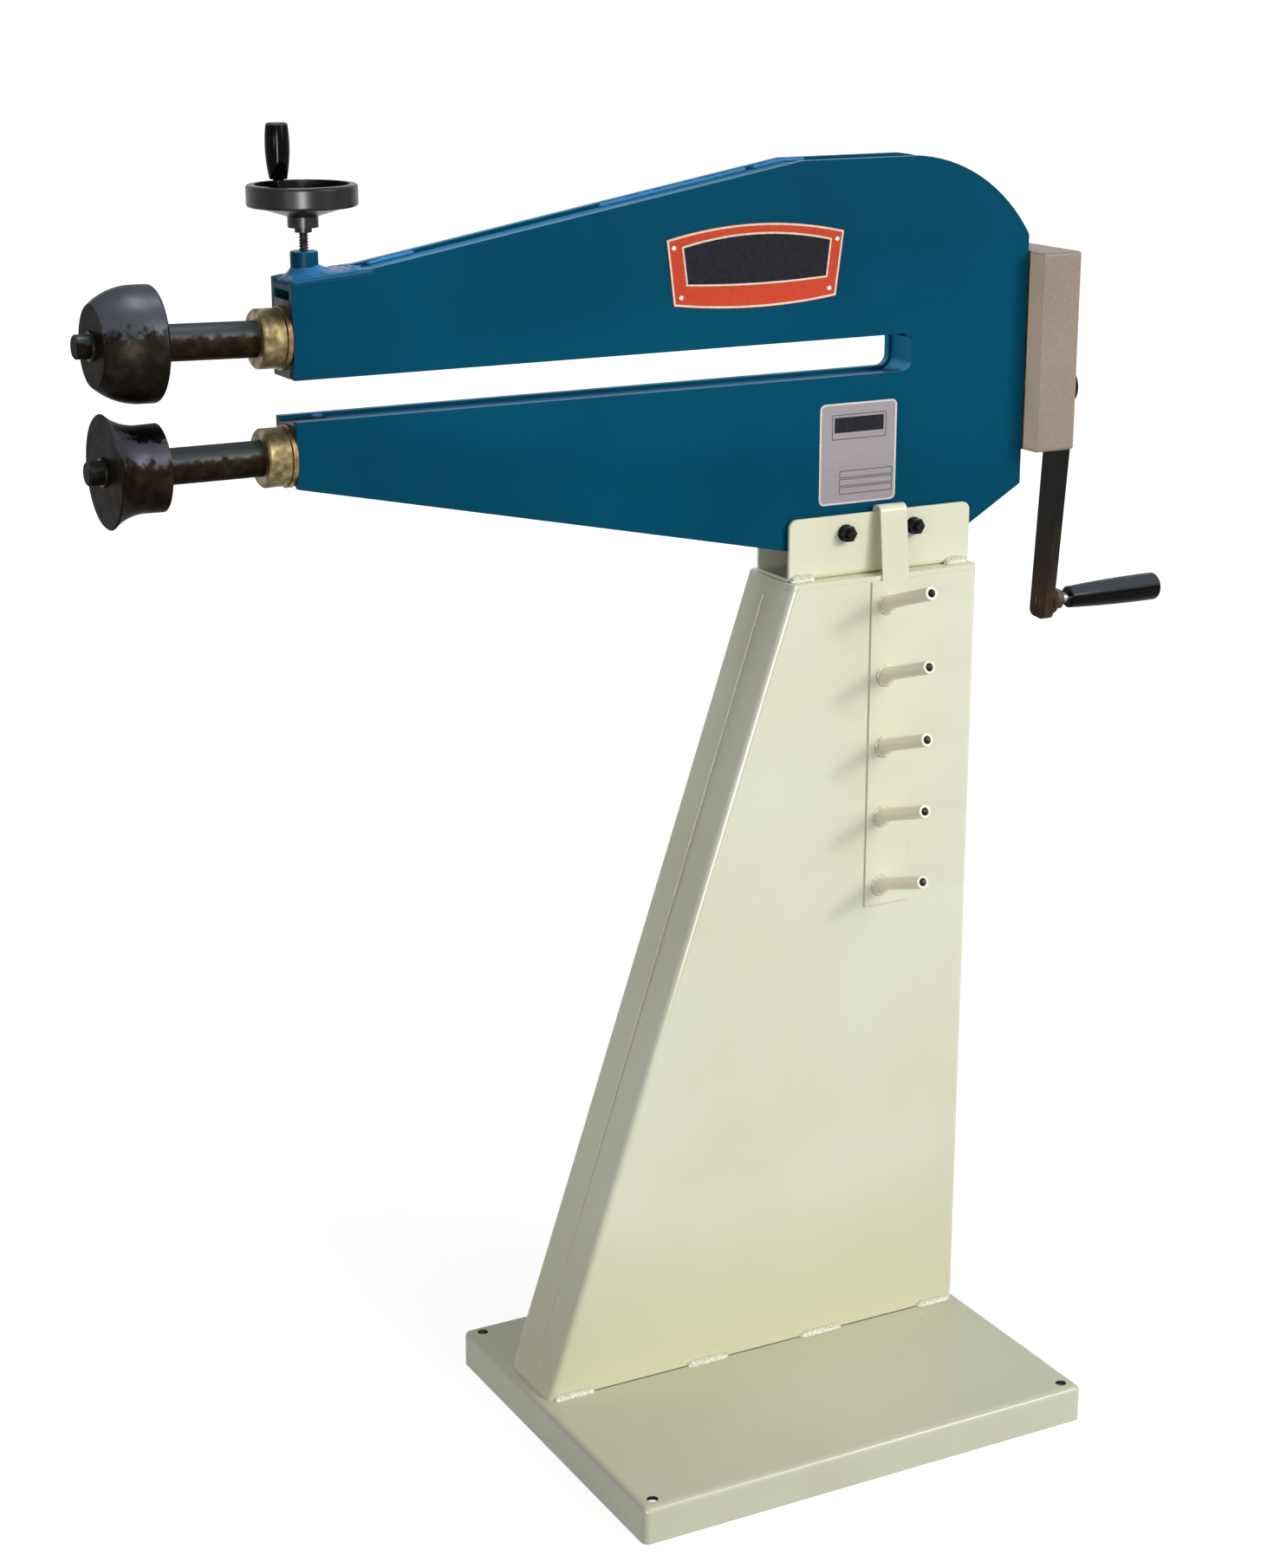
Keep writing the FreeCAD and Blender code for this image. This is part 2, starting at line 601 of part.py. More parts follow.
def head_wire(nose_extension=0.0):
    """Outline of a frame plate, with the throat slot. The extension lengthens both arms forwards."""
    front = HEAD_FRONT_X - nose_extension
    rear = HEAD_REAR_X
    belly_x = rear - BELLY_FLAT_FRONT
    top_x = rear - TOP_FLAT_FRONT
    belly_slope = (NOSE_BOTTOM_Z - HEAD_BOTTOM_Z) / (belly_x - HEAD_FRONT_X)
    nose_slope = NOSE_FLAT_RISE / NOSE_FLAT
    arc_start = Vector(rear - TOP_ARC_FRONT, HEAD_TOP_Z, 0)
    arc_end = Vector(rear, HEAD_TOP_Z - REAR_EDGE_DROP, 0)
    chord = arc_end.sub(arc_start)
    outward = Vector(-chord.y, chord.x, 0).normalize()
    arc_middle = (arc_start + arc_end) * 0.5 + outward * REAR_ARC_BULGE
    corner_reach = SLOT_CORNER * (1 - math.sqrt(0.5))
    low_corner = Vector(SLOT_END_X - corner_reach, SLOT_BOTTOM_Z + corner_reach, 0)
    high_corner = Vector(SLOT_END_X - corner_reach, SLOT_TOP_Z - corner_reach, 0)
    steps = [
        (None, Vector(rear - BELLY_FLAT_REAR, HEAD_BOTTOM_Z, 0)),
        (None, Vector(belly_x, HEAD_BOTTOM_Z, 0)),
        (None, Vector(front, NOSE_BOTTOM_Z + belly_slope * nose_extension, 0)),
        (None, Vector(front, SLOT_BOTTOM_Z, 0)),
        (None, Vector(SLOT_END_X - SLOT_CORNER, SLOT_BOTTOM_Z, 0)),
        (low_corner, Vector(SLOT_END_X, SLOT_BOTTOM_Z + SLOT_CORNER, 0)),
        (None, Vector(SLOT_END_X, SLOT_TOP_Z - SLOT_CORNER, 0)),
        (high_corner, Vector(SLOT_END_X - SLOT_CORNER, SLOT_TOP_Z, 0)),
        (None, Vector(front, SLOT_TOP_Z, 0)),
        (None, Vector(front, NOSE_TOP_Z - nose_slope * nose_extension, 0)),
        (None, Vector(HEAD_FRONT_X + NOSE_FLAT, NOSE_TOP_Z + NOSE_FLAT_RISE, 0)),
        (None, Vector(top_x, HEAD_TOP_Z, 0)),
        (None, arc_start),
        (arc_middle, arc_end),
    ]
    first = Vector(rear, HEAD_BOTTOM_Z + BELLY_CHAMFER_RISE, 0)
    edges = []
    at = first
    for via, to in steps + [(None, first)]:
        if via is None:
            edges.append(Part.LineSegment(in_xz(at), in_xz(to)).toShape())
        else:
            edges.append(Part.Arc(in_xz(at), in_xz(via), in_xz(to)).toShape())
        at = to
    return Part.Wire(edges)


def groove_core(inset):
    """The space between the plates, set back from their edges, with the arms running out in front."""
    nose_extension = 30.0
    return plate_xz(head_wire(nose_extension).makeOffset2D(-inset), GAP_NEAR_Y, GAP_FAR_Y)


def frame_plate(side):
    outer_y = HEAD_Y + side * HEAD_WIDTH / 2
    inner_y = HEAD_Y + side * PLATE_GAP / 2
    plate = plate_xz(head_wire(), min(outer_y, inner_y), max(outer_y, inner_y))
    plate = plate.cut(cross_bolt_holes(HEAD_NEAR_Y - 1, HEAD_FAR_Y + 1))
    depth = TRUNNION_LENGTH + 2 * HUNG
    socket = rod(
        TRUNNION_RADIUS + RUNNING,
        Vector(PIVOT_X, inner_y - side, PIVOT_Z),
        Vector(PIVOT_X, inner_y + side * depth, PIVOT_Z))
    plate = plate.cut(socket)
    if side < 0:
        for x, z in rivet_places():
            plate = plate.cut(rod(
                NAME_RIVET_SHANK, Vector(x, HEAD_NEAR_Y - 1, z), Vector(x, HEAD_NEAR_Y + NAME_RIVET_DEPTH, z)))
    return plate


def spacer_ring():
    return groove_core(SPACER_RECESS).cut(groove_core(SPACER_RECESS + SPACER_SHEET))


def rear_block_box():
    """Place of the rear bearing block between the plates."""
    x0 = HEAD_REAR_X - REAR_BLOCK_LENGTH
    return box(x0, HEAD_REAR_X, GAP_NEAR_Y, GAP_FAR_Y, LOWER_Z - BLOCK_HALF_HEIGHT, LOWER_Z + BLOCK_HALF_HEIGHT)


def top_spacer_strip():
    """Over the upper arm and round the rear corner down to the rocker."""
    low = PIVOT_Z + ROCKER_HALF_HEIGHT + ROCKER_CORNER
    strip = spacer_ring().common(box(
        HEAD_FRONT_X, HEAD_REAR_X, GAP_NEAR_Y, GAP_FAR_Y, low, HEAD_TOP_Z))
    return strip.cut(rod_z(SCREW_RADIUS + FOOT_NECK_PLAY, low, BOSS_TOP_Z, SCREW_X))


def bottom_spacer_strip():
    """Under the lower arm, along the belly and up the rear edge to the bearing block."""
    front = HEAD_FRONT_X + FRONT_BLOCK_LENGTH
    strip = spacer_ring().common(box(front, HEAD_REAR_X, GAP_NEAR_Y, GAP_FAR_Y, HEAD_BOTTOM_Z, LOWER_Z))
    return strip.cut(rear_block_box())


def slot_spacer_strip():
    """Floor and end of the throat. The underside of the upper arm stays open for the shaft."""
    front = HEAD_FRONT_X + FRONT_BLOCK_LENGTH
    beyond = SLOT_END_X + SPACER_RECESS + SPACER_SHEET + 1
    top = SLOT_TOP_Z - SLOT_CORNER / 2
    return spacer_ring().common(box(front, beyond, GAP_NEAR_Y, GAP_FAR_Y, LOWER_Z, top))


def bush(x0, x1, z, flange=False):
    """A plain bearing bush. The front ones have a flange on their front end."""
    shell = rod_x(BUSH_RADIUS, x0, x1, z)
    if flange:
        shell = shell.fuse(rod_x(FLANGE_RADIUS, x0 - FLANGE_SHEET, x0, z)).removeSplitter()
    return shell.cut(rod_x(JOURNAL_RADIUS + RUNNING, x0 - FLANGE_SHEET - 1, x1 + 1, z))


def lower_front_block():
    x1 = HEAD_FRONT_X + FRONT_BLOCK_LENGTH
    top = SLOT_BOTTOM_Z - SPACER_RECESS
    block = box(HEAD_FRONT_X, x1, GAP_NEAR_Y, GAP_FAR_Y, NOSE_BOTTOM_Z + 2, top)
    return block.cut(rod_x(BUSH_RADIUS, HEAD_FRONT_X - 1, x1 + 1, LOWER_Z))


def rear_bearing_block():
    x0 = HEAD_REAR_X - REAR_BLOCK_LENGTH
    return rear_block_box().cut(rod_x(BUSH_RADIUS, x0 - 1, HEAD_REAR_X + 1, LOWER_Z))


def screw_boss():
    """Round nut standing in the groove on the top strip, bored for the adjusting screw."""
    inside_arm = SLOT_TOP_Z + UPPER_ARM_DEPTH / 2
    boss = rod_z(BOSS_RADIUS, inside_arm, BOSS_TOP_Z, SCREW_X)
    boss = chamfer_where(boss, 0.8, lambda e: near(e.CenterOfMass.z, BOSS_TOP_Z))
    boss = boss.cut(groove_core(SPACER_RECESS))
    return boss.cut(rod_z(SCREW_RADIUS + SCREW_CLEARANCE, inside_arm, BOSS_TOP_Z + 1, SCREW_X))


# Upper bearings, which swing together about the rocker

def tilted(shape):
    """Turns a piece built level with the rocker to the open position, front end up."""
    shape.rotate(Vector(PIVOT_X, HEAD_Y, PIVOT_Z), ALONG_Y, OPEN_TILT)
    return shape


def slide_front_x():
    return HEAD_FRONT_X - SLIDE_PROUD


def upper_slide_block():
    """Bearing block in the nose. A T slot in its top, open to the rear, holds the screw's foot."""
    x0 = slide_front_x()
    x1 = x0 + FRONT_BLOCK_LENGTH
    top = PIVOT_Z + SLIDE_HALF_HEIGHT
    block = box(x0, x1, GAP_NEAR_Y + SLIDING, GAP_FAR_Y - SLIDING, PIVOT_Z - SLIDE_HALF_HEIGHT, top)
    block = block.cut(rod_x(BUSH_RADIUS, x0 - 1, x1 + 1, PIVOT_Z))
    wide = FOOT_RADIUS + FOOT_NECK_PLAY
    slot_top = top - FOOT_LIP
    slot_bottom = slot_top - FOOT_SHEET - 2 * FOOT_SLOT_PLAY
    neck = SCREW_RADIUS + FOOT_NECK_PLAY
    for radius, z0, z1 in ((wide, slot_bottom, slot_top), (neck, slot_bottom, top + 1)):
        block = block.cut(rod_z(radius, z0, z1, SCREW_X))
        block = block.cut(box(SCREW_X, x1 + 1, HEAD_Y - radius, HEAD_Y + radius, z0, z1))
    return tilted(block)


def upper_rear_rocker():
    """Bearing block on two trunnions that sit in blind holes in the plates."""
    half = ROCKER_INSET - ROCKER_END_GAP
    block = box(
        PIVOT_X - half, PIVOT_X + half, GAP_NEAR_Y + SLIDING, GAP_FAR_Y - SLIDING,
        PIVOT_Z - ROCKER_HALF_HEIGHT, PIVOT_Z + ROCKER_HALF_HEIGHT)
    block = fillet_where(block, ROCKER_CORNER, lambda e: runs_along(e, ALONG_Y))
    reach = PLATE_GAP / 2 + TRUNNION_LENGTH
    trunnions = rod(
        TRUNNION_RADIUS, Vector(PIVOT_X, HEAD_Y - reach, PIVOT_Z), Vector(PIVOT_X, HEAD_Y + reach, PIVOT_Z))
    block = block.fuse(trunnions).removeSplitter()
    block = block.cut(rod_x(BUSH_RADIUS, PIVOT_X - half - 1, PIVOT_X + half + 1, PIVOT_Z))
    return tilted(block)


def upper_front_bush():
    x0 = slide_front_x()
    return tilted(bush(x0, x0 + FRONT_BLOCK_LENGTH, PIVOT_Z, flange=True))


def upper_rear_bush():
    return tilted(bush(PIVOT_X - ROCKER_INSET, PIVOT_X + ROCKER_INSET, PIVOT_Z))


# Shafts and what turns with them

def key(x0, x1, seat_radius, z, grown=0.0):
    """A square key lying along a shaft, on its upper side. Grown makes its slot in the hub."""
    low = z + seat_radius - KEY_IN_SHAFT
    half = KEY_WIDTH / 2
    return box(x0, x1, HEAD_Y - half, HEAD_Y + half, low, low + KEY_HEIGHT + grown)


def key_slot(x0, x1, seat_radius, z):
    return key(x0, x1, seat_radius, z, grown=KEY_TOP_CLEARANCE)


def roll_key_span(width):
    middle = SHOULDER_X - width / 2
    return middle - ROLL_KEY_LENGTH / 2, middle + ROLL_KEY_LENGTH / 2


def gear_key_span():
    middle = GEAR_X + GEAR_WIDTH / 2
    return middle - GEAR_KEY_LENGTH / 2, middle + GEAR_KEY_LENGTH / 2


def crank_key_span():
    middle = (CRANK_HUB_X + CRANK_END_X) / 2
    return middle - CRANK_KEY_LENGTH / 2, middle + CRANK_KEY_LENGTH / 2


def shaft(flange_front_x, roll_width, end_x, z, key_spans):
    """Arbor for the roll, thick stretch, journal, gear seat, keyways, ring groove and a tapped end."""
    journal_x = flange_front_x - AXIAL_PLAY
    ring_x = SHOULDER_X - roll_width
    front_x = ring_x - RING_SHEET - ARBOR_END
    bar = rod_x(ARBOR_RADIUS, front_x, SHOULDER_X, z)
    bar = chamfer_where(bar, 1.5, lambda e: near(e.CenterOfMass.x, front_x))
    bar = bar.fuse(rod_x(SHAFT_RADIUS, SHOULDER_X, journal_x, z))
    bar = bar.fuse(rod_x(JOURNAL_RADIUS, journal_x, GEAR_X, z))
    bar = bar.fuse(rod_x(GEAR_SEAT_RADIUS, GEAR_X, end_x, z)).removeSplitter()
    groove = rod_x(ARBOR_RADIUS + 5, ring_x - RING_SHEET, ring_x, z)
    groove = groove.cut(rod_x(ARBOR_RADIUS - RING_GROOVE, ring_x - RING_SHEET, ring_x, z))
    bar = bar.cut(groove)
    for x0, x1 in key_spans:
        bar = bar.cut(key(x0, x1, GEAR_SEAT_RADIUS, z))
    return bar.cut(rod_x(END_BOLT_RADIUS, end_x - END_BOLT_LENGTH, end_x + 1, z))


def collar(flange_front_x, z):
    """Set collar against the bush flange, bored to the shaft, with a grub hole through its near side."""
    x1 = flange_front_x - AXIAL_PLAY
    x0 = x1 - COLLAR_LENGTH
    ring = rod_x(COLLAR_RADIUS, x0, x1, z)
    ring = chamfer_where(ring, COLLAR_CHAMFER, lambda e: near(e.CenterOfMass.x, x0))
    ring = ring.cut(rod_x(SHAFT_RADIUS, x0 - 1, x1 + 1, z))
    middle = (x0 + x1) / 2
    return ring.cut(rod(
        GRUB_RADIUS, Vector(middle, HEAD_Y, z), Vector(middle, HEAD_Y + COLLAR_RADIUS + 1, z)))


def collar_screw(flange_front_x, z):
    """Socket grub screw in the collar's far side, its point on the shaft."""
    middle = flange_front_x - AXIAL_PLAY - COLLAR_LENGTH / 2
    outer = HEAD_Y + COLLAR_RADIUS - 1
    screw = rod(GRUB_RADIUS, Vector(middle, HEAD_Y + SHAFT_RADIUS, z), Vector(middle, outer, z))
    screw = screw.cut(rod(SHAFT_RADIUS, Vector(middle - 20, HEAD_Y, z), Vector(middle + 20, HEAD_Y, z)))
    return screw.cut(hexagon(2 * GRUB_SOCKET, Vector(middle, outer - 4, z), Vector(middle, outer + 1, z)))


def roll_ring(roll_width, z):
    """Open retaining ring in its groove in front of the roll."""
    x1 = SHOULDER_X - roll_width
    x0 = x1 - RING_SHEET
    ring = rod_x(RING_RADIUS, x0, x1, z).cut(rod_x(ARBOR_RADIUS - RING_GROOVE, x0 - 1, x1 + 1, z))
    return ring.cut(box(x0 - 1, x1 + 1, HEAD_Y, HEAD_Y + 30, z - RING_GAP / 2, z + RING_GAP / 2))


def upper_roll():
    """Crowned roll: a large arc rises to a short cylinder beside the shoulder."""
    drop = UPPER_ROLL_WIDTH - UPPER_ROLL_FLAT
    front_radius = UPPER_ROLL_RADIUS - UPPER_ROLL_ARC + math.sqrt(UPPER_ROLL_ARC ** 2 - drop ** 2)
    half = drop / 2
    middle_radius = UPPER_ROLL_RADIUS - UPPER_ROLL_ARC + math.sqrt(UPPER_ROLL_ARC ** 2 - half ** 2)
    bore = ARBOR_RADIUS + ROLL_BORE_CLEARANCE
    corner = UPPER_ROLL_CORNER
    corner_mid = corner * (1 - math.sqrt(0.5))
    top = UPPER_ROLL_RADIUS
    edges = [
        Part.LineSegment(Vector(bore, 0, 0), Vector(top - corner, 0, 0)),
        Part.Arc(Vector(top - corner, 0, 0), Vector(top - corner_mid, 0, corner_mid), Vector(top, 0, corner)),
        Part.LineSegment(Vector(top, 0, corner), Vector(top, 0, UPPER_ROLL_FLAT)),
        Part.Arc(
            Vector(top, 0, UPPER_ROLL_FLAT), Vector(middle_radius, 0, UPPER_ROLL_FLAT + half),
            Vector(front_radius, 0, UPPER_ROLL_WIDTH)),
        Part.LineSegment(Vector(front_radius, 0, UPPER_ROLL_WIDTH), Vector(bore, 0, UPPER_ROLL_WIDTH)),
        Part.LineSegment(Vector(bore, 0, UPPER_ROLL_WIDTH), Vector(bore, 0, 0)),
    ]
    profile = Part.Wire([e.toShape() for e in edges])
    roll = turned(profile, Vector(SHOULDER_X, HEAD_Y, PIVOT_Z), Vector(-1, 0, 0))
    x0 = SHOULDER_X - UPPER_ROLL_WIDTH
    return tilted(roll.cut(key_slot(x0 - 1, SHOULDER_X + 1, ARBOR_RADIUS, PIVOT_Z)))


def lower_roll():
    """Hollow roll: a sharp flange at the front falls in one sweep to a low waist."""
    rise = LOWER_ROLL_FLANGE - LOWER_ROLL_WAIST
    sweep = LOWER_ROLL_WIDTH - LOWER_ROLL_FLAT - LOWER_ROLL_FLANGE_EDGE
    arc = (sweep ** 2 + rise ** 2) / (2 * rise)
    half = sweep / 2
    middle_radius = LOWER_ROLL_WAIST + arc - math.sqrt(arc ** 2 - half ** 2)
    edge_at = LOWER_ROLL_WIDTH - LOWER_ROLL_FLANGE_EDGE
    bore = ARBOR_RADIUS + ROLL_BORE_CLEARANCE
    corners = [
        Vector(bore, 0, 0),
        Vector(LOWER_ROLL_WAIST + 0.5, 0, 0),
        Vector(LOWER_ROLL_WAIST, 0, LOWER_ROLL_FLAT),
    ]
    edges = [Part.LineSegment(a, b) for a, b in zip(corners, corners[1:])]
    flange = Vector(LOWER_ROLL_FLANGE, 0, edge_at)
    edges.append(Part.Arc(corners[-1], Vector(middle_radius, 0, LOWER_ROLL_FLAT + half), flange))
    face = Vector(LOWER_ROLL_FLANGE - LOWER_ROLL_FLANGE_EDGE, 0, LOWER_ROLL_WIDTH)
    edges.append(Part.LineSegment(flange, face))
    edges.append(Part.LineSegment(face, Vector(bore, 0, LOWER_ROLL_WIDTH)))
    edges.append(Part.LineSegment(Vector(bore, 0, LOWER_ROLL_WIDTH), corners[0]))
    profile = Part.Wire([e.toShape() for e in edges])
    roll = turned(profile, Vector(SHOULDER_X, HEAD_Y, LOWER_Z), Vector(-1, 0, 0))
    x0 = SHOULDER_X - LOWER_ROLL_WIDTH
    return roll.cut(key_slot(x0 - 1, SHOULDER_X + 1, ARBOR_RADIUS, LOWER_Z))


def gear_wire(turn):
    """Involute teeth, each flank one arc through three points of the involute."""
    pitch = MODULE * TEETH / 2
    base = pitch * math.cos(PRESSURE_ANGLE)
    tip = pitch + ADDENDUM * MODULE
    root = pitch - DEDENDUM * MODULE

    def half_angle(radius):
        pressure = math.acos(min(1.0, base / radius))
        involute = math.tan(pressure) - pressure
        at_pitch = math.tan(PRESSURE_ANGLE) - PRESSURE_ANGLE
        return math.pi / (2 * TEETH) - TOOTH_THINNING / (2 * pitch) + at_pitch - involute

    def point(radius, angle):
        return Vector(0, radius * math.cos(angle), radius * math.sin(angle))

    start = max(base, root)
    radii = (start, (start + tip) / 2, tip)
    step = 2 * math.pi / TEETH
    edges = []
    for i in range(TEETH):
        middle = turn + i * step
        low, mid, high = [point(r, middle - half_angle(r)) for r in radii]
        far_low, far_mid, far_high = [point(r, middle + half_angle(r)) for r in radii]
        foot = point(root, middle - half_angle(start))
        far_foot = point(root, middle + half_angle(start))
        next_foot = point(root, middle + step - half_angle(start))
        edges.append(Part.LineSegment(foot, low).toShape())
        edges.append(Part.Arc(low, mid, high).toShape())
        edges.append(Part.LineSegment(high, far_high).toShape())
        edges.append(Part.Arc(far_high, far_mid, far_low).toShape())
        edges.append(Part.LineSegment(far_low, far_foot).toShape())
        edges.append(Part.LineSegment(far_foot, next_foot).toShape())
    return Part.Wire(edges)


def gear(z, turn):
    """Spur gear with a hub towards the bearing and a recess turned in its rear face."""
    body = plate_yz(gear_wire(turn), GEAR_X, GEAR_END_X)
    body.translate(Vector(0, HEAD_Y, z))
    rim = MODULE * (TEETH / 2 - DEDENDUM) - GEAR_RIM
    recess = rod_x(rim, GEAR_END_X - GEAR_WEB_DEPTH, GEAR_END_X + 1, z)
    recess = recess.cut(rod_x(GEAR_HUB_RADIUS, GEAR_END_X - GEAR_WEB_DEPTH, GEAR_END_X + 1, z))
    body = body.cut(recess)
    body = body.fuse(rod_x(GEAR_HUB_RADIUS, GEAR_HUB_X, GEAR_X, z)).removeSplitter()
    body = body.cut(rod_x(JOURNAL_RADIUS, GEAR_HUB_X - 1, GEAR_X, z))
    body = body.cut(rod_x(GEAR_SEAT_RADIUS, GEAR_X - 1, GEAR_END_X + 1, z))
    return body.cut(key_slot(GEAR_X, GEAR_END_X + 1, GEAR_SEAT_RADIUS, z))


def end_washer(x, z):
    disc = rod_x(END_WASHER_RADIUS, x, x + END_WASHER_SHEET, z)
    return disc.cut(rod_x(END_BOLT_RADIUS, x - 1, x + END_WASHER_SHEET + 1, z))


def end_bolt(x, shaft_end_x, z):
    """Hexagon bolt in the tapped end of a shaft, its head on the washer at x."""
    head_x = x + END_WASHER_SHEET
    tip_x = shaft_end_x - END_BOLT_LENGTH + 2
    shank = rod_x(END_BOLT_RADIUS, tip_x, head_x, z)
    head = hexagon(END_BOLT_FLATS, Vector(head_x, HEAD_Y, z), Vector(head_x + END_BOLT_HEAD, HEAD_Y, z))
    return shank.fuse(head).removeSplitter()


def upper_end_x():
    return GEAR_END_X - 1.0


def lower_end_x():
    return CRANK_END_X - 1.0


def upper_flange_x():
    return slide_front_x() - FLANGE_SHEET


def lower_flange_x():
    return HEAD_FRONT_X - FLANGE_SHEET


def upper_shaft():
    spans = [roll_key_span(UPPER_ROLL_WIDTH), gear_key_span()]
    return tilted(shaft(upper_flange_x(), UPPER_ROLL_WIDTH, upper_end_x(), PIVOT_Z, spans))


def lower_shaft():
    spans = [roll_key_span(LOWER_ROLL_WIDTH), gear_key_span(), crank_key_span()]
    return shaft(lower_flange_x(), LOWER_ROLL_WIDTH, lower_end_x(), LOWER_Z, spans)


def keys(spans, z):
    return Part.makeCompound([key(x0, x1, GEAR_SEAT_RADIUS, z) for x0, x1 in spans])


# Gear cover

def gear_centre_heights():
    drop = (GEAR_X + GEAR_WIDTH / 2 - PIVOT_X) * math.tan(math.radians(OPEN_TILT))
    return LOWER_Z, PIVOT_Z - drop / 2


def bored_for_hubs(plate, x0, x1):
    for z in gear_centre_heights():
        plate = plate.cut(rod_x(BACKING_HOLE, x0 - 1, x1 + 1, z))
    return plate


def cover_spacer_plate():
    """Dark flat bar between the rear end of the head and the backing plate."""
    half = HEAD_WIDTH / 2 - SPACER_PLATE_SIDE_INSET
    low = COVER_BOTTOM_Z + SPACER_PLATE_END_INSET
    high = COVER_TOP_Z - SPACER_PLATE_END_INSET
    plate = box(HEAD_REAR_X, BACKING_X, HEAD_Y - half, HEAD_Y + half, low, high)
    return bored_for_hubs(plate, HEAD_REAR_X, BACKING_X)


def cover_backing_plate():
    """Flat plate that closes the front of the cover, bored round both gear hubs."""
    edge = COVER_SHEET + HUNG
    half = COVER_HALF_WIDTH - edge
    bottom = COVER_BOTTOM_Z + edge
    top = COVER_TOP_Z - edge
    end_x = BACKING_X + BACKING_SHEET
    plate = box(BACKING_X, end_x, HEAD_Y - half, HEAD_Y + half, bottom, top)
    return bored_for_hubs(plate, BACKING_X, end_x)


def gear_cover():
    """Box folded from sheet, open towards the head, with a hole for the crank sleeve."""
    half = COVER_HALF_WIDTH
    outside = box(COVER_X, COVER_END_X, HEAD_Y - half, HEAD_Y + half, COVER_BOTTOM_Z, COVER_TOP_Z)

    def folded(edge):
        return edge.CenterOfMass.x > COVER_X + 1e-4

    outside = fillet_where(outside, COVER_BEND + COVER_SHEET, folded)
    inner = half - COVER_SHEET
    inside = box(
        COVER_X, COVER_END_X - COVER_SHEET, HEAD_Y - inner, HEAD_Y + inner,
        COVER_BOTTOM_Z + COVER_SHEET, COVER_TOP_Z - COVER_SHEET)
    inside = fillet_where(inside, COVER_BEND, folded)
    cover = outside.cut(inside)
    cover = cover.cut(rod_x(SLEEVE_RADIUS + 1.5, COVER_END_X - 10, COVER_END_X + 1, LOWER_Z))
    for y, z in post_places():
        cover = cover.cut(rod_x(COVER_SCREW_RADIUS + HUNG, COVER_END_X - 10, COVER_END_X + 1, z, y))
    return cover


def post_places():
    inset = COVER_SHEET + POST_INSET
    half = COVER_HALF_WIDTH - inset
    low = COVER_BOTTOM_Z + inset
    high = COVER_TOP_Z - inset
    return [(HEAD_Y + side * half, z) for side in (-1, 1) for z in (low, high)]


def cover_posts():
    """Tapped posts standing on the backing plate, up to the cover's rear wall."""
    x0 = BACKING_X + BACKING_SHEET
    x1 = COVER_END_X - COVER_SHEET
    posts = []
    for y, z in post_places():
        post = rod_x(POST_RADIUS, x0, x1, z, y)
        posts.append(post.cut(rod_x(COVER_SCREW_RADIUS, x1 - COVER_SCREW_LENGTH, x1 + 1, z, y)))
    return Part.makeCompound(posts)


def cover_screws():
    """Button head screws through the cover's rear wall into the posts."""
    screws = []
    for y, z in post_places():
        tip = COVER_END_X - COVER_SHEET - COVER_SCREW_LENGTH + 2
        shank = rod_x(COVER_SCREW_RADIUS, tip, COVER_END_X, z, y)
        head_end = COVER_END_X + COVER_SCREW_HEAD
        head = rod_x(COVER_SCREW_HEAD_RADIUS, COVER_END_X, head_end, z, y)
        head = fillet_where(head, 1.5, lambda e: near(e.CenterOfMass.x, head_end))
        screws.append(shank.fuse(head).removeSplitter())
    return Part.makeCompound(screws)


# Crank

def leaning(shape):
    """Turns a piece built straight down from the lower shaft to the crank's resting angle."""
    shape.rotate(Vector(0, HEAD_Y, LOWER_Z), ALONG_X, CRANK_HANG)
    return shape


def crank_pin_z():
    return LOWER_Z - CRANK_RADIUS


def crank_sleeve():
    tube = rod_x(SLEEVE_RADIUS, GEAR_END_X, CRANK_HUB_X, LOWER_Z)
    return tube.cut(rod_x(GEAR_SEAT_RADIUS, GEAR_END_X - 1, CRANK_HUB_X + 1, LOWER_Z))


